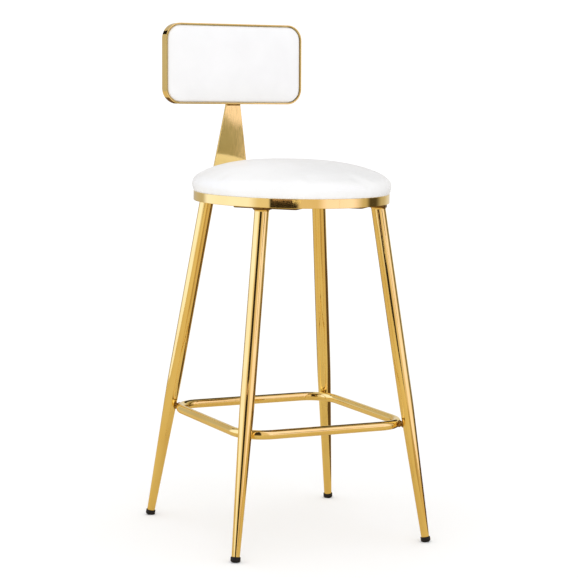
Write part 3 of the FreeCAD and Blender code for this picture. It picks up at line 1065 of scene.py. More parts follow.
# ------------------------------------------------------------------------------ legs
@dataclass
class TaperedLeg:
    """One leg: a tapered tube with a ground weld at its top, and the glide under it."""

    corner: str
    tube_radius: float = 12.5 * MM
    tip_radius: float = 7.0 * MM
    wall: float = 1.2 * MM
    taper: float = 240.0 * MM
    taper_blend: float = 14.0 * MM     # length over which the taper's upper end is eased
    rim: float = 0.4 * MM
    rim_steps: int = 3
    weld: float = 2.6 * MM
    weld_height: float = 1.3           # height of the weld to its width
    weld_steps: int = 6
    weld_room: float = 12.0 * MM       # the plain rings end this far below the top
    rings: int = 40
    segments: int = 72
    tip_zone: float = 3.0 * MM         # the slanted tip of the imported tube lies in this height
    top_zone: float = 0.1 * MM
    glide_radius: float = 8.5 * MM
    glide_height: float = 8.5 * MM
    glide_edge: float = 2.5 * MM
    glide_lip: float = 0.6 * MM
    glide_gap: float = 0.1 * MM        # between the tube's tip and the glide
    glide_plug: float = 18.0 * MM
    glide_plug_edge: float = 0.8 * MM
    glide_play: float = 0.15 * MM
    glide_segments: int = 48

    def __post_init__(self) -> None:
        """Find the leg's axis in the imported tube: the middles of its lowest and highest rims."""
        vertices = [v.co for v in FRAME["nodes"]["leg_" + self.corner].data.vertices]
        low, high = min(v.z for v in vertices), max(v.z for v in vertices)
        tip = self.middle([v for v in vertices if v.z < low + self.tip_zone])
        top = self.middle([v for v in vertices if v.z > high - self.top_zone])
        self.plate_level = high
        self.length = (top - tip).length
        self.frame = frame_along(tip, top - tip, Vector((1, 0, 0)))

    @staticmethod
    def middle(points: Sequence[Vector]) -> Vector:
        """Middle of the box around some points."""
        spans = [[point[k] for point in points] for k in range(3)]
        return Vector([(min(span) + max(span)) / 2 for span in spans])

    def radius_at(self, height: float) -> float:
        """Outer radius, with the end of the taper eased.

        Args:
            height: Distance from the tip.

        Returns:
            The radius.
        """
        slope = (self.tube_radius - self.tip_radius) / self.taper
        short = (self.taper - height) * slope
        ease = self.taper_blend * slope
        eased = (short + math.sqrt(short * short + ease * ease)) / 2
        return self.tube_radius - eased

    def point_at(self, height: float) -> Vector:
        """Point on the axis at a distance from the tip."""
        return self.frame @ Vector((0, 0, height))

    def slid_ring(self, radius: float, level: float) -> Ring:
        """Ring around the axis whose points are slid along it to one level.

        Args:
            radius: Radius of the ring.
            level: Height of its points above the floor.

        Returns:
            The ring.
        """
        ring = []
        rise = self.frame.to_3x3() @ Vector((0, 0, 1))
        for point in spin([(radius, self.length)], self.segments, self.frame)[0]:
            ring.append(point + rise * ((level - point.z) / rise.z))
        return ring

    def tube(self, material: Material) -> Piece:
        """Tube with its inner wall, rounded rim at the tip and ground weld at the plate.

        Args:
            material: Its material.

        Returns:
            The piece.
        """
        last = self.length - self.weld_room
        heights = [
            self.rim + (last - self.rim) * (k / self.rings) for k in range(self.rings + 1)
        ]
        rounding = [
            (self.radius_at(0) - self.rim * (1 - math.sin(a)), self.rim * (1 - math.cos(a)))
            for a in (math.pi / 2 * k / self.rim_steps for k in range(self.rim_steps))
        ]
        inner = [(self.radius_at(h) - self.wall, h) for h in reversed(heights)]
        outer = [(self.radius_at(h), h) for h in heights]
        rings = [self.slid_ring(self.tube_radius - self.wall, self.plate_level)]
        rings += spin(inner + [(self.radius_at(0) - self.wall, 0.0)], self.segments, self.frame)
        rings += spin(rounding + outer, self.segments, self.frame)
        for k in range(self.weld_steps + 1):
            share = k / self.weld_steps
            drop = self.weld * (1 - share) * self.weld_height
            swell = self.weld * (1 - math.sqrt(1 - share ** 2))
            rings.append(self.slid_ring(self.tube_radius + swell, self.plate_level - drop))
        piece = make_piece("tapered_tube_" + self.corner, skin(rings, closed=True), material)
        weight_normals(piece)
        return piece

    def glide(self, material: Material) -> Piece:
        """Round black glide with its plug, worn flat where it stands on the floor.

        Args:
            material: Its material.

        Returns:
            The piece.
        """
        plug = self.tip_radius - self.wall - self.glide_play
        outline = rounded_outline([
            (0, -self.glide_height, 0),
            (self.glide_radius, -self.glide_height, self.glide_edge),
            (self.glide_radius, -self.glide_gap, self.glide_lip),
            (plug, -self.glide_gap, 0),
            (plug, self.glide_plug, self.glide_plug_edge),
            (0, self.glide_plug, 0),
        ], steps=5)
        rings = spin(outline, self.glide_segments, self.frame)
        for ring in rings:
            for point in ring:
                point.z = max(point.z, 0.0)
        return make_piece("glide_" + self.corner, skin(rings, closed=True), material, sharp=40)

    def build(self, finishes: Finishes) -> None:
        """Make the tube and its glide."""
        settle(self.tube(finishes[Slot.GOLD]), Slot.GOLD, "leg_" + self.corner)
        settle(self.glide(finishes[Slot.GLIDE]), Slot.GLIDE, "foot_" + self.corner)


# ------------------------------------------------------------------------------ footrest
@dataclass
class Footrest:
    """Square ring of round tube, welded to the legs by four short stubs."""

    bars: Tree
    legs: dict[str, TaperedLeg]
    corner_radius: float = 50.0 * MM
    corner_steps: int = 28
    tube_steps: int = 12               # segments in a quarter of the tube
    full_round: float = 0.9999         # just short of a corner radius that closes its own sides
    stub_radius: float = 5.0 * MM
    stub_steps: int = 12
    stub_segments: int = 40
    flare: float = 1.4 * MM            # how much wider the stub is at its two welds
    flare_power: float = 1.8
    bite: float = 1.5 * MM             # how far the stub runs into the tubes

    def __post_init__(self) -> None:
        """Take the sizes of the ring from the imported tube."""
        low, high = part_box("footrest_ring")
        self.tube_radius = (high.z - low.z) / 2
        self.level = (high.z + low.z) / 2
        self.half = high.x - self.tube_radius

    def build(self, finishes: Finishes) -> None:
        """Make the ring and the stubs.

        Args:
            finishes: The materials.
        """
        ring = self.bars.grow("footrest_tube", {
            "Path Width": 2 * self.half, "Path Length": 2 * self.half,
            "Corner Radius": self.corner_radius,
            "Bar Width": 2 * self.tube_radius, "Bar Height": 2 * self.tube_radius,
            "Edge Radius": self.full_round * self.tube_radius,
            "Corner Steps": self.corner_steps, "Edge Steps": self.tube_steps,
            "Material": finishes[Slot.GOLD],
        })
        ring.data.transform(Matrix.Translation((0, 0, self.level)))
        settle(ring, Slot.GOLD, "footrest_ring")
        # the stubs get the weld finish, whose darker colour is painted shade of the gap between
        # ring and leg
        for corner in CORNERS:
            settle(self.stub(corner, finishes.weld), Slot.GOLD, "footrest_stub_" + corner)

    def stub(self, corner: str, material: Material) -> Piece:
        """Short rod between the ring's corner and a leg, flared where it is welded.

        Args:
            corner: Which leg.
            material: Its material.

        Returns:
            The piece.
        """
        leg = self.legs[corner]
        out = Vector((*CORNERS[corner], 0)).normalized()
        rise = leg.frame.to_3x3() @ Vector((0, 0, 1))
        height = (self.level - leg.frame.translation.z) / rise.z
        leg_surface = leg.point_at(height).dot(out) - leg.radius_at(height) / rise.z
        arc_middle = math.sqrt(2) * (self.half - self.corner_radius) + self.corner_radius
        start = arc_middle + self.tube_radius
        span = leg_surface - start
        profile = []
        for k in range(self.stub_steps + 1):
            share = k / self.stub_steps
            from_end = min(share, 1 - share) * 2
            radius = self.stub_radius + self.flare * (1 - from_end) ** self.flare_power
            profile.append((radius, span * share))
        profile = [(profile[0][0], -self.bite)] + profile + [(profile[-1][0], span + self.bite)]
        frame = frame_along(out * start + Vector((0, 0, self.level)), out, Vector((0, 0, 1)))
        rings = spin(profile, self.stub_segments, frame)
        return make_piece("weld_stub_" + corner, skin(rings, closed=False), material)


# ------------------------------------------------------------------------------ plates
@dataclass
class LegPlate:
    """Punched plate under the seat. The punch leaves its outline rounded over."""

    corner: str
    easing: float = 0.7 * MM
    easing_steps: int = 3
    hole_zone: float = 7.5 * MM        # faces nearer than this to a screw belong to its hole
    same_face: float = 1.0             # degrees below which two faces are one
    hard: float = 40.0                 # degrees above which an edge belongs to the outline
    level_play: float = 0.01 * MM
    sharp: float = 50.0                # degrees above which its shading breaks
    upright: float = 0.8               # faces whose normal rises less than this are sheared ones

    def build(self, holes: Sequence[Vector], finishes: Finishes) -> None:
        """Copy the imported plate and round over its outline, but not its holes.

        Args:
            holes: Middles of the screws.
            finishes: The materials.
        """
        node = "leg_plate_" + self.corner
        form = bmesh.new()
        form.from_mesh(FRAME["nodes"][node].data)
        bmesh.ops.remove_doubles(form, verts=form.verts, dist=SAME_POINT)
        bmesh.ops.dissolve_limit(
            form, angle_limit=math.radians(self.same_face), verts=form.verts, edges=form.edges
        )
        outline = [
            edge for edge in form.edges
            if edge.calc_face_angle(0.0) > math.radians(self.hard)
            and abs(edge.verts[0].co.z - edge.verts[1].co.z) < self.level_play
            and all(
                (v.co.xy - hole.xy).length > self.hole_zone for v in edge.verts for hole in holes
            )
        ]
        bmesh.ops.bevel(
            form, geom=outline, offset=self.easing, offset_type="OFFSET",
            segments=self.easing_steps, profile=0.5, affect="EDGES", clamp_overlap=True,
        )
        bmesh.ops.recalc_face_normals(form, faces=form.faces)
        mesh = bpy.data.meshes.new("punched_plate_" + self.corner)
        form.to_mesh(mesh)
        form.free()
        mesh.shade_smooth()
        mesh.set_sharp_from_angle(angle=math.radians(self.sharp))
        mesh.materials.append(finishes[Slot.GOLD])
        mesh.materials.append(finishes.painted_shade_edge)
        # the side faces of the outline get the dark painted shade of the band above them
        for face in mesh.polygons:
            near = min((face.center.xy - hole.xy).length for hole in holes)
            if abs(face.normal.z) < self.upright and near > self.hole_zone:
                face.material_index = 1
        piece = link(mesh.name, mesh)
        weight_normals(piece)
        settle(piece, Slot.GOLD, node)


# ------------------------------------------------------------------------------ padded pieces
@dataclass
class Padding:
    """How a padded cover is swollen: cloth that is blown up a little and held at its edges."""

    voxel: float = 5.0 * MM
    pressure: float = 4.0
    stretch_stiffness: float = 25.0
    bending_stiffness: float = 12.0
    quality: int = 6
    cap: float = 3.0 * MM              # no point moves further than this
    frames: int = 20
    polish: int = 10                   # rounds of smoothing after it
    polish_strength: float = 0.5

    def inflate(self, pad: Piece, held: Hold) -> None:
        """Swell a closed form in place.

        Args:
            pad: Closed form, slightly smaller than the stuffed piece.
            held: How firmly each point is held, from 0, free, to 1, fixed.
        """
        remesh = pad.modifiers.new("even", "REMESH")
        remesh.mode = "VOXEL"
        remesh.voxel_size = self.voxel
        bake_modifiers(pad)
        self.simulate(pad, held)
        self.smooth(pad, held)
        finer = pad.modifiers.new("finer", "SUBSURF")
        finer.levels = finer.render_levels = 1
        bake_modifiers(pad)
        pad.data.shade_smooth()

    def smooth(self, pad: Piece, held: Hold) -> None:
        """Draw the cover taut wherever it isn't held, as a tightly stuffed one is.

        Args:
            pad: The swollen form.
            held: How firmly each point is held.
        """
        group = pad.vertex_groups.new(name="free")
        for vertex in pad.data.vertices:
            group.add([vertex.index], 1.0 - held(vertex.co), "REPLACE")
        taut = pad.modifiers.new("taut", "SMOOTH")
        taut.factor = self.polish_strength
        taut.iterations = self.polish
        taut.vertex_group = "free"
        bake_modifiers(pad)
        pad.vertex_groups.clear()

    def simulate(self, pad: Piece, held: Hold) -> None:
        """Run the cloth and keep its result, no point moving further than the cap.

        Args:
            pad: The closed form.
            held: How firmly each point is held.
        """
        rest = [v.co.copy() for v in pad.data.vertices]
        group = pad.vertex_groups.new(name="held")
        for index, point in enumerate(rest):
            group.add([index], held(point), "REPLACE")
        cloth = pad.modifiers.new("cloth", "CLOTH")
        settings = cloth.settings
        settings.use_pressure = True
        settings.uniform_pressure_force = self.pressure
        settings.vertex_group_mass = "held"
        settings.effector_weights.gravity = 0.0
        settings.quality = self.quality
        settings.tension_stiffness = self.stretch_stiffness
        settings.compression_stiffness = self.stretch_stiffness
        settings.bending_stiffness = self.bending_stiffness
        scene = bpy.context.scene
        for step in range(1, self.frames + 1):
            scene.frame_set(step)
        evaluated = pad.evaluated_get(bpy.context.evaluated_depsgraph_get())
        moved = [v.co.copy() for v in evaluated.data.vertices]
        pad.modifiers.clear()
        scene.frame_set(1)
        for vertex, start, end in zip(pad.data.vertices, rest, moved):
            step = end - start
            if step.length > self.cap:
                step = step.normalized() * self.cap
            vertex.co = start + step
        pad.vertex_groups.clear()


@dataclass
class SeatCushion:
    """Round seat: a low dome of foam under white vinyl, drawn down inside the band."""

    padding: Padding
    edge_drop: float = 32.0 * MM       # fall of the dome near its edge
    sit: float = 0.8 * MM              # how much the crown has settled
    waist: float = 15.0 * MM           # widest level above the band
    tuck: float = 3.5 * MM             # how far it draws in at the band
    slack: float = 2.0 * MM            # how much smaller the unstuffed form is
    clearance: float = 0.3 * MM        # above the band
    hem: float = 1.0 * MM              # small bevel at the foot of the cover
    shoulder: float = 0.91             # share of the radius where the dome turns down
    shoulder_out: float = 0.9          # how squarely the shoulder goes out
    shoulder_down: float = 0.85        # and how squarely it comes down
    dome_steps: int = 24
    shoulder_steps: int = 10
    side_steps: int = 8
    grip: float = 1.5 * MM             # the band holds the vinyl up to here above its top
    pleat_depth: float = 1.05 * MM
    pleats: float = 46.0
    pleat_height: float = 6.0 * MM
    pleat_start: float = 1.0 * MM
    pleat_inside: float = 0.9          # share of the radius where the pleats begin
    pleat_outside: float = 0.98        # and where they are at their deepest
    segments: int = 160

    def __post_init__(self) -> None:
        """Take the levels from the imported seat."""
        cover_low, cover_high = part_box("seat_cover")
        self.band_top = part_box("seat_band")[1].z
        self.inside = self.inside_radius()
        self.edge = cover_high.x
        self.crown = cover_high.z - self.sit
        self.base = cover_low.z

    def inside_radius(self) -> float:
        """Measure the vinyl where it lies inside the band.

        Returns:
            Its outer radius there.
        """
        points = [v.co for v in FRAME["nodes"]["seat_cover"].data.vertices]
        low = min(p.z for p in points)
        return max(p.xy.length for p in points if p.z < low + self.hem)

    def dome(self, radius: float, slack: float) -> float:
        """Level of the top at a radius: nearly flat, then falling with the cube of the radius."""
        return self.crown - slack - self.edge_drop * (radius / self.edge) ** 3

    def profile(self) -> Outline:
        """Half section of the form before it is stuffed.

        Returns:
            Radius and level of each point, from the crown to the middle of the base.
        """
        edge = self.edge - 0.5 * self.slack
        widest = self.band_top + self.waist
        shoulder = self.shoulder * edge
        radii = [shoulder * k / self.dome_steps for k in range(self.dome_steps + 1)]
        points = [(radius, self.dome(radius, self.slack)) for radius in radii]
        high = points[-1][1]
        for k in range(1, self.shoulder_steps + 1):
            angle = math.pi / 2 * k / self.shoulder_steps
            fall = math.cos(angle) ** self.shoulder_down if k < self.shoulder_steps else 0.0
            points.append((
                shoulder + (edge - shoulder) * math.sin(angle) ** self.shoulder_out,
                widest + (high - widest) * fall,
            ))
        low = self.band_top + self.clearance
        for k in range(1, self.side_steps + 1):
            angle = math.pi / 2 * k / self.side_steps
            points.append((
                edge - self.tuck * (1 - math.cos(angle)), widest - (widest - low) * math.sin(angle)
            ))
        points += [(self.inside, low), (self.inside, self.base + self.hem)]
        points += [(self.inside - self.hem, self.base), (0.0, self.base)]
        return points

    def held(self, point: Vector) -> float:
        """The vinyl is fixed where the band grips it and under the board."""
        return 1.0 if point.z < self.band_top + self.grip else 0.0

    def pleat(self, point: Vector, above: float) -> float:
        """How far a point is pushed out by the pleats that the band draws into the vinyl.

        Args:
            point: A point of the cover.
            above: Its height above the band.

        Returns:
            The push, inwards where it is below 0.
        """
        angle = math.atan2(point.y, point.x)
        ripple = noise.noise(Vector((
            self.pleats * math.cos(angle), self.pleats * math.sin(angle), 0.3
        )))
        fade = math.exp(-above / self.pleat_height) * (1 - math.exp(-above / self.pleat_start))
        start, end = self.pleat_inside * self.edge, self.pleat_outside * self.edge
        rim = min(max((point.xy.length - start) / (end - start), 0.0), 1.0)
        return ripple * self.pleat_depth * fade * rim

    def fit(self, piece: Piece) -> None:
        """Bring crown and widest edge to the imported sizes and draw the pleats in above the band.

        Args:
            piece: The stuffed cushion.
        """
        vertices = piece.data.vertices
        high = max(v.co.z for v in vertices)
        wide = max(v.co.xy.length for v in vertices)
        lift = (self.crown - self.band_top) / (high - self.band_top)
        for vertex in vertices:
            point = vertex.co
            above = point.z - self.band_top
            if above <= 0:
                continue
            point.z = self.band_top + above * lift
            share = min(above / self.waist, 1.0)
            spread = 1 + (self.edge / wide - 1) * share
            length = point.xy.length * spread + self.pleat(point, above)
            flat = point.xy.normalized() * length if point.xy.length > 0 else point.xy
            vertex.co = (flat.x, flat.y, point.z)

    def build(self, finishes: Finishes) -> None:
        """Make the cushion.

        Args:
            finishes: The materials.
        """
        rings = spin(self.profile(), self.segments, Matrix())
        piece = make_piece("seat_cushion", skin(rings, closed=False), finishes[Slot.VINYL])
        self.padding.inflate(piece, self.held)
        self.fit(piece)
        settle(piece, Slot.VINYL, "seat_cover", "seat_foam")


# ------------------------------------------------------------------------------ seat
@dataclass
class SeatBase:
    """Band around the seat, the dust cloth under it and everything that fastens it."""

    bars: Tree
    beads: Tree
    fasteners: Tree
    band_edge: float = 0.7 * MM
    band_steps: int = 64               # segments in a quarter of the band
    edge_steps: int = 3
    full_round: float = 0.49995        # just short of a corner radius that closes its own sides
    seam_angle: float = -88.7
    seam_radius: float = 0.5 * MM
    seam_proud: float = 0.06 * MM
    seam_short: float = 0.5 * MM       # it ends this far inside the band's edges
    cloth_rings: int = 40
    cloth_lift: float = 0.35 * MM
    cloth_fold: float = 22.0           # folds to a metre, roughly
    cloth_border: float = 0.2          # share of the radius that lies flat towards the edge
    screw_head: float = 6.0 * MM
    screw_shank: float = 3.0 * MM
    screw_cone: float = 3.3 * MM
    screw_rim: float = 0.3 * MM
    screw_face: float = 0.08 * MM
    screw_bevel: float = 0.15 * MM
    screw_sides: int = 24
    socket_half_width: float = 2.0 * MM
    socket_depth: float = 2.1 * MM
    socket_bevel: float = 0.2 * MM
    socket_flare: float = 1.12         # how much wider its mouth is
    staple_crown: float = 10.0 * MM
    staple_wire: float = 0.6 * MM
    staple_leg: float = 6.0 * MM

    def build(self, finishes: Finishes) -> None:
        """Make the band, its seam, the plates, the cloth, the screws and the staples.

        Args:
            finishes: The materials.
        """
        zinc = finishes[Slot.ZINC]
        self.band(finishes[Slot.GOLD])
        holes = [(low + high) / 2 for low, high in solids_of("leg_plate_screws")]
        for corner in CORNERS:
            LegPlate(corner).build(holes, finishes)
        self.cloth(finishes[Slot.CLOTH])
        for name, node in (
            ("leg_plate_bolts", "leg_plate_screws"), ("bracket_bolts", "bracket_screws"),
        ):
            row = FastenerRow(self.fasteners, name, node, free_turn=math.pi, seed=7)
            row.build(self.screw(node, zinc), self.screw_place, zinc)
        row = FastenerRow(
            self.fasteners, "cloth_staples", "dust_cloth_staples",
            free_turn=0.09, tilt=0.03, seed=11,
        )
        row.build(self.staple(zinc), self.staple_place, zinc)

    def band(self, material: Material) -> None:
        """Flat-bar hoop with eased edges, and the ground weld that closes it.

        Args:
            material: Its material.
        """
        low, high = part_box("seat_band")
        points = [v.co.xy.length for v in FRAME["nodes"]["seat_band"].data.vertices]
        thickness = max(points) - min(points)
        middle = 2 * high.x - thickness
        hoop = self.bars.grow("seat_hoop", {
            "Path Width": middle, "Path Length": middle,
            "Corner Radius": self.full_round * middle,
            "Bar Width": thickness, "Bar Height": high.z - low.z, "Edge Radius": self.band_edge,
            "Corner Steps": self.band_steps, "Edge Steps": self.edge_steps,
            "Material": material,
        })
        hoop.data.transform(Matrix.Translation((0, 0, (low.z + high.z) / 2)))
        weight_normals(hoop)
        settle(hoop, Slot.GOLD, "seat_band")
        angle = math.radians(self.seam_angle)
        reach = high.x + self.seam_proud - self.seam_radius
        out = Vector((math.cos(angle) * reach, math.sin(angle) * reach, 0))
        up = Vector((0, 0, 1))
        seam = self.beads.grow("hoop_seam", {
            "Start": out + up * (low.z + self.seam_short),
            "End": out + up * (high.z - self.seam_short),
            "Radius": self.seam_radius, "Ripples": 8, "Seed": 3, "Material": material,
        })
        settle(seam, Slot.GOLD)

    def cloth(self, material: Material) -> None:
        """Black cloth stapled under the board, slightly slack between its fixings.

        Args:
            material: Its material.
        """
        low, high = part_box("dust_cloth")
        radius, thickness = high.x, high.z - low.z
        segments = 3 * self.cloth_rings
        rings = []
        for k in range(self.cloth_rings + 1):
            distance = radius * (1 - k / self.cloth_rings)
            ring = []
            for i in range(segments):
                angle = math.tau * i / segments
                x, y = distance * math.cos(angle), distance * math.sin(angle)
                slack = 0.5 + 0.5 * noise.noise(Vector((x, y, 0.0)) * self.cloth_fold)
                inner = min((radius - distance) / (self.cloth_border * radius), 1.0)
                ring.append(Vector((x, y, low.z + self.cloth_lift * slack * inner)))
            rings.append(ring)
        vertices, faces = skin(rings, closed=False)
        mesh = bpy.data.meshes.new("underseat_cloth")
        mesh.from_pydata([tuple(v) for v in vertices], [], faces[:-2])
        form = bmesh.new()
        form.from_mesh(mesh)
        bmesh.ops.remove_doubles(form, verts=form.verts, dist=SAME_POINT)
        form.to_mesh(mesh)
        form.free()
        mesh.shade_smooth()
        mesh.materials.append(material)
        piece = link("underseat_cloth", mesh)
        if piece.data.polygons[0].normal.z > 0:
            piece.data.flip_normals()
        thick = piece.modifiers.new("thickness", "SOLIDIFY")
        thick.thickness, thick.offset = thickness, -1.0
        bake_modifiers(piece)
        settle(piece, Slot.CLOTH, "dust_cloth")

    def screw(self, node: str, material: Material) -> Piece:
        """Countersunk screw with a key socket, its head's face at the origin, facing +Z.

        Args:
            node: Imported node, for the length of its screws.
            material: Its material.

        Returns:
            The screw.
        """
        low, high = solids_of(node)[0]
        length, sides = high.z - low.z, self.screw_sides
        rings = spin([
            (self.screw_shank, -length), (self.screw_shank, -self.screw_cone),
            (self.screw_head, -self.screw_rim), (self.screw_head, -self.screw_face),
            (self.screw_head - self.screw_bevel, 0.0),
        ], sides, Matrix())
        for grow, depth in (
            (self.socket_flare, 0.0), (1.0, self.socket_bevel), (1.0, self.socket_depth),
        ):
            rings.append([
                Vector((math.cos(a), math.sin(a), 0))
                * (grow * self.socket_half_width / math.cos((a % (math.pi / 3)) - math.pi / 6))
                - Vector((0, 0, depth))
                for a in (math.tau * i / sides for i in range(sides))
            ])
        return make_piece("screw_pattern", skin(rings, closed=False), material, sharp=30)

    @staticmethod
    def screw_place(low: Vector, high: Vector) -> tuple[Vector, Vector]:
        """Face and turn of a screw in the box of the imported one, its head downwards."""
        middle = (low + high) / 2
        return Vector((middle.x, middle.y, low.z)), Vector((math.pi, 0, 0))

    def staple(self, material: Material) -> Piece:
        """Staple with its crown along Y, outer face at the origin, facing +Z.

        Args:
            material: Its material.

        Returns:
            The staple.
        """
        half, wire, leg = self.staple_crown / 2, self.staple_wire, self.staple_leg
        bend = 0.5 * wire
        left = [
            (-half + wire, -wire), (-half + wire, -leg), (-half, -leg), (-half, -bend),
            (-half + bend, 0),
        ]
        right = [(-y, z) for y, z in reversed(left)]
        front = left[2:] + right + left[:2]
        rings = [[Vector((x, y, z)) for y, z in front] for x in (-wire / 2, wire / 2)]
        return make_piece("staple_pattern", skin(rings, closed=False), material, sharp=20)

    @staticmethod
    def staple_place(low: Vector, high: Vector) -> tuple[Vector, Vector]:
        """Place of a staple, its crown along the edge of the cloth and facing down.

        Args:
            low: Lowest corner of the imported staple.
            high: Its highest corner.

        Returns:
            Middle of the crown, and the turn.
        """
        middle = (low + high) / 2
        angle = math.atan2(middle.y, middle.x)
        return Vector((middle.x, middle.y, low.z)), Vector((math.pi, 0, angle))


# ------------------------------------------------------------------------------ backrest
class Side(Enum):
    """Sides of the backrest, as directions along Y."""

    FRONT = -1.0
    REAR = 1.0


@dataclass
class BackPad:
    """One padded side of the backrest, in the frame of the backrest: X across, Y to the rear."""

    name: str
    width: float
    height: float
    corner: float
    edge_depth: float                  # where the face meets the hoop
    rear_depth: float
    crown: float                       # rise of the face in its middle
    shoulder: float                    # width of the rounded border
    facing: Side = Side.FRONT
    stuffed: bool = True               # thick enough to swell; a thin one is only stretched
    side: float = 1.2 * MM             # straight side next to the face
    shoulder_steps: int = 6
    shoulder_rise: float = 0.35        # share of the crown that the border rises
    face_steps: int = 12
    face_power: float = 0.8
    flat_middle: float = 4.0 * MM      # half height of the innermost ring
    smallest_corner: float = 3.0 * MM
    corner_steps: int = 6
    held_side: float = 1.2 * MM
    held_depth: float = 0.5 * MM

    def rings(self) -> list[Ring]:
        """Closed form before it is stuffed.

        Returns:
            Rounded rectangles that shrink towards the middle of the face.
        """
        out = self.facing.value
        levels = [(0.0, self.rear_depth), (0.0, self.edge_depth - out * self.side)]
        for k in range(1, self.shoulder_steps + 1):
            angle = math.pi / 2 * k / self.shoulder_steps
            inset = self.shoulder * (1 - math.cos(angle))
            rise = self.shoulder_rise * self.crown * math.sin(angle)
            levels.append((inset, self.edge_depth + out * rise))
        reach = self.height / 2 - self.flat_middle
        for k in range(1, self.face_steps + 1):
            share = k / self.face_steps
            inset = self.shoulder + (reach - self.shoulder) * share
            bulge = (1 - self.shoulder_rise) * math.sin(share * math.pi / 2) ** self.face_power
            rise = self.crown * (self.shoulder_rise + bulge)
            levels.append((inset, self.edge_depth + out * rise))
        rings = []
        for inset, depth in levels:
            outline = rounded_box_outline(
                self.width - 2 * inset, self.height - 2 * inset,
                max(self.corner - inset, self.smallest_corner), self.corner_steps,
            )
            rings.append([Vector((x, depth, z)) for x, z in outline])
        return rings

    def held(self, point: Vector) -> float:
        """The cover is fixed on its sides, where it lies against the hoop, and at the rear.

        Args:
            point: A point of the cover.

        Returns:
            1 where it is fixed, otherwise 0.
        """
        inside = min(self.width / 2 - abs(point.x), self.height / 2 - abs(point.z))
        past_edge = (point.y - self.edge_depth) * -self.facing.value
        return 1.0 if past_edge > self.held_depth or inside < self.held_side else 0.0

    def build(self, padding: Padding, place: Matrix, material: Material) -> Piece:
        """Make the pad.

        Args:
            padding: How it is stuffed.
            place: Placement of the backrest.
            material: Its material.

        Returns:
            The piece.
        """
        piece = make_piece(self.name, skin(self.rings(), closed=False), material)
        if self.stuffed:
            padding.inflate(piece, self.held)
        else:
            finer = piece.modifiers.new("finer", "SUBSURF")
            finer.levels = finer.render_levels = 2
            bake_modifiers(piece)
        piece.data.transform(place)
        return piece


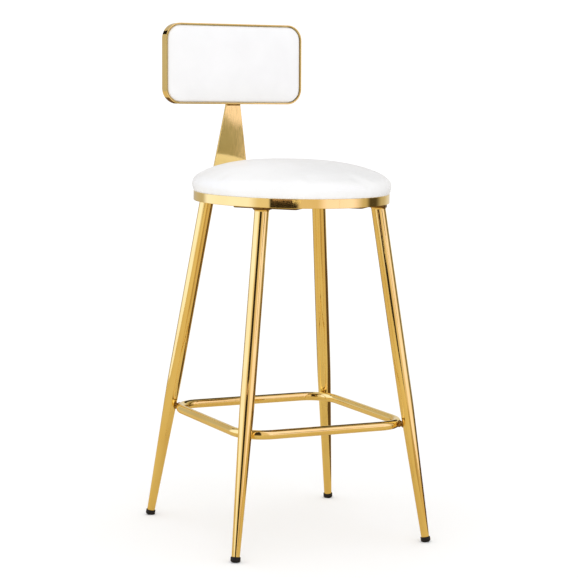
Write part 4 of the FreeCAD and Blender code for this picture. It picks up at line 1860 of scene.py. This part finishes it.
@dataclass
class Backrest:
    """Flat-bar hoop with its two pads, on a bent flat bar that comes from under the seat."""

    bars: Tree
    beads: Tree
    padding: Padding
    tilt: float = 2.0
    width: float = 277.0 * MM
    height: float = 148.0 * MM
    depth: float = 20.0 * MM
    bar: float = 3.1 * MM
    corner: float = 29.0 * MM
    bar_edge: float = 0.5 * MM
    edge_steps: int = 3
    corner_steps: int = 20
    pad_gap: float = 0.15 * MM
    pad_edge: float = 0.6 * MM         # its border lies this far inside the hoop's front edge
    pad_crown: float = 5.0 * MM
    pad_shoulder: float = 3.5 * MM
    pad_rear: float = 13.4 * MM
    panel_front: float = 17.6 * MM
    panel_edge: float = 19.2 * MM
    panel_crown: float = 1.6 * MM
    panel_shoulder: float = 3.0 * MM
    blade: float = 4.5 * MM
    blade_edge: float = 0.7 * MM
    neck_width: float = 29.0 * MM
    tab_width: float = 72.0 * MM
    tab_steps: int = 8
    bend_steps: int = 24
    blade_steps: int = 24
    flare: float = 0.33                # growth of the blade's width to its distance from the top
    lean: float = 3.7
    bend: float = 35.0 * MM
    weld_depth: float = 9.0 * MM
    weld_bite: float = 0.6 * MM        # how far the blade runs into the hoop's bar
    blade_bow: float = 5.5             # turn of its shading, in degrees
    hole_play: float = 0.12 * MM
    hole_face: float = 0.3 * MM        # straight part above the countersink's mouth
    hole_start: float = 1.0 * MM       # the cutter starts this far below the tab
    hole_sides: int = 32
    bead: float = 2.1 * MM
    bead_short: float = 0.5 * MM       # it ends this far inside the blade's edges
    bead_sunk: float = 0.3 * MM
    bead_drop: float = 0.6 * MM        # it lies this far below the hoop's bar

    def __post_init__(self) -> None:
        """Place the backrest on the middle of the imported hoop."""
        low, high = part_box("back_hoop")
        middle = (low + high) / 2
        self.turn = Matrix.Rotation(math.radians(-self.tilt), 4, "X")
        front = middle - self.turn @ Vector((0, self.depth / 2, 0))
        self.place = Matrix.Translation(front) @ self.turn

    def build(self, finishes: Finishes) -> None:
        """Make the hoop, the pads, the bent bar and its welds.

        Args:
            finishes: The materials.
        """
        vinyl = finishes[Slot.VINYL]
        self.hoop(finishes[Slot.GOLD])
        gap = self.bar + self.pad_gap
        size = {
            "width": self.width - 2 * gap, "height": self.height - 2 * gap,
            "corner": self.corner - gap,
        }
        front = BackPad(
            "back_pad", **size, edge_depth=self.pad_edge, rear_depth=self.pad_rear,
            crown=self.pad_crown, shoulder=self.pad_shoulder,
        ).build(self.padding, self.place, vinyl)
        settle(front, Slot.VINYL, "back_cover", "back_foam")
        rear = BackPad(
            "rear_pad", **size, edge_depth=self.panel_edge, rear_depth=self.panel_front,
            crown=self.panel_crown, shoulder=self.panel_shoulder, facing=Side.REAR, stuffed=False,
        ).build(self.padding, self.place, vinyl)
        settle(rear, Slot.VINYL, "rear_panel_cover", "rear_panel")
        self.bracket(finishes)

    def hoop(self, material: Material) -> None:
        """Rounded rectangle of flat bar with eased edges.

        Args:
            material: Its material.
        """
        hoop = self.bars.grow("backrest_hoop", {
            "Path Width": self.width - self.bar, "Path Length": self.height - self.bar,
            "Corner Radius": self.corner - self.bar / 2,
            "Bar Width": self.bar, "Bar Height": self.depth, "Edge Radius": self.bar_edge,
            "Corner Steps": self.corner_steps, "Edge Steps": self.edge_steps,
            "Material": material,
        })
        upright = Matrix.Rotation(math.radians(90), 4, "X")
        hoop.data.transform(self.place @ Matrix.Translation((0, self.depth / 2, 0)) @ upright)
        weight_normals(hoop)
        settle(hoop, Slot.GOLD, "back_hoop")

    def course(self, top: Vector) -> list[tuple[Vector, float]]:
        """Middle line of the bent bar, from the tab's end to the hoop.

        Args:
            top: Where the blade meets the hoop.

        Returns:
            Points of the line, each with the bar's angle there, 0 for the level tab.
        """
        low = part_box("back_bracket")[0]
        turn = math.radians(90 + self.lean)
        mid_level = low.z + self.blade / 2
        centre_z = mid_level + self.bend
        rise = (top.z - centre_z + self.bend * math.cos(turn)) / math.sin(turn)
        bend_y = top.y - rise * math.cos(turn) - self.bend * math.sin(turn)
        centre = Vector((0, bend_y, centre_z))
        steps: list[tuple[Vector, float]] = []
        for k in range(self.tab_steps + 1):
            y = low.y + (bend_y - low.y) * k / self.tab_steps
            steps.append((Vector((0, y, mid_level)), 0.0))
        for k in range(1, self.bend_steps + 1):
            angle = turn * k / self.bend_steps
            spoke = Vector((0, math.sin(angle), -math.cos(angle)))
            steps.append((centre + spoke * self.bend, angle))
        end = steps[-1][0]
        blade_up = Vector((0, math.cos(turn), math.sin(turn)))
        reach = rise + self.weld_bite
        for k in range(1, self.blade_steps + 1):
            steps.append((end + blade_up * (reach * k / self.blade_steps), turn))
        return steps

    def bracket(self, finishes: Finishes) -> None:
        """Bent bar: a tab under the board, a bend, and a blade that narrows towards the hoop.

        Args:
            finishes: The materials.
        """
        top = self.place @ Vector((0, self.weld_depth, -self.height / 2))
        rings = []
        for point, angle in self.course(top):
            half = min(self.tab_width, self.neck_width + self.flare * max(top.z - point.z, 0)) / 2
            section = rounded_box_outline(2 * half, self.blade, self.blade_edge, self.edge_steps)
            normal = Vector((0, -math.sin(angle), math.cos(angle)))
            rings.append([point + Vector((x, 0, 0)) + normal * t for x, t in section])
        piece = make_piece("bent_back_bar", skin(rings, closed=False), finishes[Slot.GOLD])
        self.countersink(piece)
        weight_normals(piece)
        turn_normals(piece, Vector((0, -1, 0)), self.blade_bow)
        settle(piece, Slot.GOLD, "back_bracket")
        # the neck welds get the weld finish, darkened with painted shade
        half = Vector((self.neck_width / 2 - self.bead_short, 0, 0))
        for side in Side:
            depth = side.value * (self.blade / 2 - self.bead_sunk)
            seat = top + Vector((0, depth, -self.bead_drop))
            bead = self.beads.grow(side.name.lower() + "_neck_weld", {
                "Start": seat - half, "End": seat + half, "Radius": self.bead,
                "Ripples": 14, "Seed": 5, "Material": finishes.weld,
            })
            settle(bead, Slot.GOLD)

    def countersink(self, piece: Piece) -> None:
        """Cut the holes of the tab's screws, open at its lower face.

        Args:
            piece: The bent bar.
        """
        cutters = []
        for low, high in solids_of("bracket_screws"):
            head, cone = (high.x - low.x) / 2 + self.hole_play, (high.x - low.x) / 4
            profile = [
                (head, -self.hole_start), (head, self.hole_face),
                (head - cone, self.hole_face + cone), (head - cone, 2 * self.blade),
            ]
            middle = (low + high) / 2
            place = Matrix.Translation((middle.x, middle.y, low.z))
            drill = skin(spin(profile, self.hole_sides, place), closed=False)
            cutter = make_piece("drill", drill, piece.active_material)
            cut = piece.modifiers.new("hole", "BOOLEAN")
            cut.operation, cut.solver, cut.object = "DIFFERENCE", "EXACT", cutter
            cutters.append(cutter)
        bake_modifiers(piece)
        for cutter in cutters:
            discard(cutter)


# ------------------------------------------------------------------------------ studio
@dataclass(frozen=True)
class Wall:
    """Stretch of studio wall that the metal mirrors: its first azimuth, softness and light."""

    start: float
    soft: float
    brightness: float
    tint: str = "#FFFFFF"


@dataclass(frozen=True)
class Gloom:
    """Unlit part of the walls: its azimuth in degrees and the sine of its elevation."""

    middle: float
    half_width: float
    low: float
    high: float


@dataclass(frozen=True)
class Card:
    """Upright card that the metal mirrors, square to the line from the stool."""

    azimuth: float
    distance: float
    low: float
    high: float
    width: float
    base: str = "#A5A094"
    accent: str = "#9C978B"
    slant: float = 0.0                 # how far its top drops to either side of its middle


@dataclass(frozen=True)
class Board:
    """Board on the floor that the metal mirrors: its azimuths and where it starts."""

    first: float
    last: float
    inner: float
    base: str
    accent: str


@dataclass
class Studio:
    """White paper, soft light all round and a camera."""

    azimuth: float = -26.757
    elevation: float = 6.957
    roll: float = 1.159
    distance: float = 3.4776
    lens: float = 122.33
    aim: tuple[float, float] = (-0.0012, 0.4319)
    sensor: float = 36.0
    floor_radius: float = 4.2
    floor_segments: int = 96
    walls: tuple[Wall, ...] = (
        Wall(-180.0, 0.0, 0.58, "#FFF6EA"),
        Wall(-148.0, 14.0, 1.7, "#D4DAFF"),
        Wall(-72.0, 16.0, 0.86, "#FFF4EC"),
        Wall(-52.0, 3.0, 0.035, "#FFE0C0"),
        Wall(-19.0, 6.0, 0.82, "#FFEBDC"),
        Wall(9.0, 14.0, 1.42, "#EADEFF"),
        Wall(58.0, 22.0, 0.62, "#FFF0DC"),
        Wall(74.0, 10.0, 0.09, "#FFEAC8"),
        Wall(97.0, 18.0, 0.58, "#FFF6E6"),
        Wall(118.0, 24.0, 0.8, "#FFFAF4"),
        Wall(160.0, 30.0, 0.55, "#FFF6EA"),
    )
    ambient: float = 1.1
    backdrop_light: float = 1.1
    gloom: Gloom = Gloom(136.0, 17.0, 0.36, 0.9)
    gloom_light: float = 0.02
    gloom_tint: str = "#FFE8C8"
    cards: tuple[Card, ...] = (
        Card(25.1, 3.0, 0.56, 0.842, 0.34, slant=0.09),
        Card(25.1, 3.03, 0.872, 1.19, 0.76),
        Card(-36.6, 1.65, 0.505, 0.535, 0.64, "#D8B4A0", "#C8A490"),
        Card(-21.2, 1.6, 0.495, 0.52, 0.26, "#F4E4CC", "#ECDCC4"),
        Card(-158.1, 1.24, 1.07, 1.3, 0.32, "#100D0A", "#181410"),
    )
    light_board: tuple[str, str] = ("#D5C4A2", "#CEBC99")
    boards: tuple[Board, ...] = (
        Board(-14.0, 14.0, 0.9, "#B59F7D", "#AC9674"),
        Board(14.0, 60.0, 0.9, "#D0BA97", "#C7B18E"),
        Board(60.0, 122.0, 0.35, "#5F4A36", "#554231"),
        Board(150.0, 190.0, 1.3, "#6F5840", "#655038"),
    )
    board_steps: int = 24
    board_lift: float = 0.3 * MM       # light boards above the paper
    dark_board_lift: float = 1.0 * MM

    @staticmethod
    def direction(azimuth: float, elevation: float) -> Vector:
        """Unit vector, its azimuth in degrees from the front and positive to the right."""
        a, e = math.radians(azimuth), math.radians(elevation)
        return Vector((math.sin(a) * math.cos(e), -math.cos(a) * math.cos(e), math.sin(e)))

    def build(self) -> None:
        """Make the floor, the light and the camera."""
        ring = spin([(self.floor_radius, 0.0)], self.floor_segments, Matrix())[0]
        paper = self.stage_sheet(
            "studio_paper", ring, [tuple(range(len(ring)))], StudioPaper().build()
        )
        paper.visible_glossy = False
        self.props(ring)
        self.world()
        self.lamp("key_softbox", azimuth=-30, elevation=24, distance=3.2, size=1.6, power=11)
        self.camera()
        view = bpy.context.scene.view_settings
        view.view_transform, view.look = "Standard", "None"

    def props(self, ring: Ring) -> None:
        """Cards and boards that only the metal sees, in its reflections.

        Args:
            ring: Outline of the floor.
        """
        up = Vector((0, 0, 1))
        light = StudioPaper("light_studio_boards", *self.light_board).build()
        lifted = [point + up * self.board_lift for point in ring]
        sheets = [self.stage_sheet("light_boards", lifted, [tuple(range(len(ring)))], light)]
        for k, card in enumerate(self.cards):
            toward = self.direction(card.azimuth, 0.0)
            foot, across = toward * card.distance, toward.cross(up) * (card.width / 2)
            points = [
                foot - across + up * card.low, foot + across + up * card.low,
                foot + across + up * (card.high + card.slant),
                foot - across + up * (card.high - card.slant),
            ]
            material = StudioPaper("studio_card_%d" % k, card.base, card.accent).build()
            sheets.append(self.stage_sheet("card_%d" % k, points, [(0, 1, 2, 3)], material))
        for k, board in enumerate(self.boards):
            steps = self.board_steps
            points = []
            for step in range(steps + 1):
                turn = board.first + (board.last - board.first) * step / steps
                out = self.direction(turn, 0.0)
                for radius in (board.inner, self.floor_radius):
                    points.append(out * radius + up * self.dark_board_lift)
            faces = [(2 * i, 2 * i + 1, 2 * i + 3, 2 * i + 2) for i in range(steps)]
            material = StudioPaper("dark_studio_boards_%d" % k, board.base, board.accent).build()
            sheets.append(self.stage_sheet("dark_boards_%d" % k, points, faces, material))
        for sheet in sheets:
            sheet.visible_camera = sheet.visible_diffuse = sheet.visible_shadow = False

    @staticmethod
    def stage_sheet(
        name: str, points: list[Vector], faces: Faces, material: Material
    ) -> Piece:
        """Flat sheet of the studio, which isn't part of the stool.

        Args:
            name: Name of the sheet.
            points: Its vertices.
            faces: Its faces.
            material: Its material.

        Returns:
            The sheet.
        """
        mesh = bpy.data.meshes.new(name)
        mesh.from_pydata([tuple(p) for p in points], [], faces)
        mesh.materials.append(material)
        sheet = link(name, mesh)
        return sheet

    def mirrored_walls(self, tree: NodeTree) -> Socket:
        """Colour of the walls in each direction: stretches of wall, then the unlit part.

        Args:
            tree: Node tree of the world.

        Returns:
            The colour.
        """
        toward = add_node(tree, "ShaderNodeTexCoord").outputs["Generated"]
        split = add_node(tree, "ShaderNodeSeparateXYZ", {"Vector": toward}).outputs
        back = add_node(tree, "ShaderNodeMath", {0: split["Y"], 1: -1.0}, operation="MULTIPLY")
        azimuth = add_node(
            tree, "ShaderNodeMath", {0: split["X"], 1: back.outputs[0]}, operation="ARCTAN2"
        ).outputs[0]
        first, *others = self.walls
        colour = add_node(tree, "ShaderNodeRGB").outputs[0]
        colour.default_value = light_colour(first.brightness, first.tint)
        for wall in others:
            half = math.radians(wall.soft / 2)
            start = math.radians(wall.start)
            share = add_node(
                tree, "ShaderNodeMapRange",
                {"Value": azimuth, "From Min": start - half, "From Max": start + half},
                interpolation_type="SMOOTHSTEP",
            ).outputs[0]
            paint = light_colour(wall.brightness, wall.tint)
            mix = add_node(tree, "ShaderNodeMix", {0: share, 6: colour, 7: paint}, data_type="RGBA")
            colour = mix.outputs[2]
        gloom = self.gloom
        beside = add_node(
            tree, "ShaderNodeMath",
            {0: azimuth, 1: math.radians(gloom.middle), 2: math.radians(gloom.half_width)},
            operation="COMPARE",
        ).outputs[0]
        level = add_node(
            tree, "ShaderNodeMath",
            {0: split["Z"], 1: (gloom.low + gloom.high) / 2, 2: (gloom.high - gloom.low) / 2},
            operation="COMPARE",
        ).outputs[0]
        dark = add_node(
            tree, "ShaderNodeMath", {0: beside, 1: level}, operation="MULTIPLY"
        ).outputs[0]
        unlit = light_colour(self.gloom_light, self.gloom_tint)
        mix = add_node(tree, "ShaderNodeMix", {0: dark, 6: colour, 7: unlit}, data_type="RGBA")
        return mix.outputs[2]

    def world(self) -> None:
        """Even light for matt surfaces, walls of different brightness for the metal to mirror."""
        world = bpy.data.worlds.new("studio_walls")
        world.use_nodes = True
        tree = world.node_tree
        tree.nodes.clear()
        white = linear("#FFFFFF")
        walls = add_node(tree, "ShaderNodeBackground", {"Color": self.mirrored_walls(tree)})
        even = add_node(
            tree, "ShaderNodeBackground", {"Color": white, "Strength": self.ambient}
        )
        backdrop = add_node(
            tree, "ShaderNodeBackground", {"Color": white, "Strength": self.backdrop_light}
        )
        path = add_node(tree, "ShaderNodeLightPath").outputs
        matt = add_node(
            tree, "ShaderNodeMixShader",
            {0: path["Is Diffuse Ray"], 1: walls.outputs[0], 2: even.outputs[0]},
        )
        seen = add_node(
            tree, "ShaderNodeMixShader",
            {0: path["Is Camera Ray"], 1: matt.outputs[0], 2: backdrop.outputs[0]},
        )
        add_node(tree, "ShaderNodeOutputWorld", {"Surface": seen.outputs[0]})
        world.cycles.sampling_method = "NONE"   # rays then know what they left: matt or metal
        bpy.context.scene.world = world

    def lamp(
        self, name: str, azimuth: float, elevation: float,
        distance: float, size: float, power: float,
    ) -> None:
        """Square soft light that looks at the stool.

        Args:
            name: Name of the lamp.
            azimuth: Where it stands, in degrees.
            elevation: How high it stands, in degrees.
            distance: From the middle of the stool.
            size: Side of the light.
            power: In watts.
        """
        data = bpy.data.lights.new(name, "AREA")
        data.size, data.energy = size, power
        lamp = bpy.data.objects.new(name, data)
        lamp.visible_glossy = False
        toward = self.direction(azimuth, elevation)
        lamp.location = Vector((0, 0, self.aim[1])) + toward * distance
        lamp.rotation_mode = "QUATERNION"
        lamp.rotation_quaternion = toward.to_track_quat("Z", "Y")
        bpy.context.scene.collection.objects.link(lamp)

    def camera(self) -> None:
        """Camera in front, to the left, a little above the seat."""
        back = self.direction(self.azimuth, self.elevation)
        right = (-back).cross(Vector((0, 0, 1))).normalized()
        up = right.cross(-back)
        roll = math.radians(self.roll)
        right, up = (
            math.cos(roll) * right + math.sin(roll) * up,
            math.cos(roll) * up - math.sin(roll) * right,
        )
        data = bpy.data.cameras.new("camera")
        data.lens, data.sensor_width = self.lens, self.sensor
        camera = bpy.data.objects.new("camera", data)
        target = right * self.aim[0] + Vector((0, 0, self.aim[1]))
        turned = Matrix((right, up, back)).transposed().to_4x4()
        camera.matrix_world = Matrix.Translation(target + back * self.distance) @ turned
        bpy.context.scene.collection.objects.link(camera)
        bpy.context.scene.camera = camera


def main() -> None:
    """Build the stool, piece by piece, then the studio around it."""
    logging.basicConfig(level=logging.INFO, format="%(message)s")
    Studio().build()
    finishes = Finishes()
    finishes.dress_frame()
    bars, beads, fasteners = swept_bar_tree(), weld_bead_tree(), fastener_tree()
    legs = {corner: TaperedLeg(corner) for corner in CORNERS}
    for leg in legs.values():
        leg.build(finishes)
    Footrest(bars, legs).build(finishes)
    SeatBase(bars, beads, fasteners).build(finishes)
    SeatCushion(Padding()).build(finishes)
    Backrest(bars, beads, Padding(voxel=4 * MM)).build(finishes)


if __name__ == "__main__":
    main()
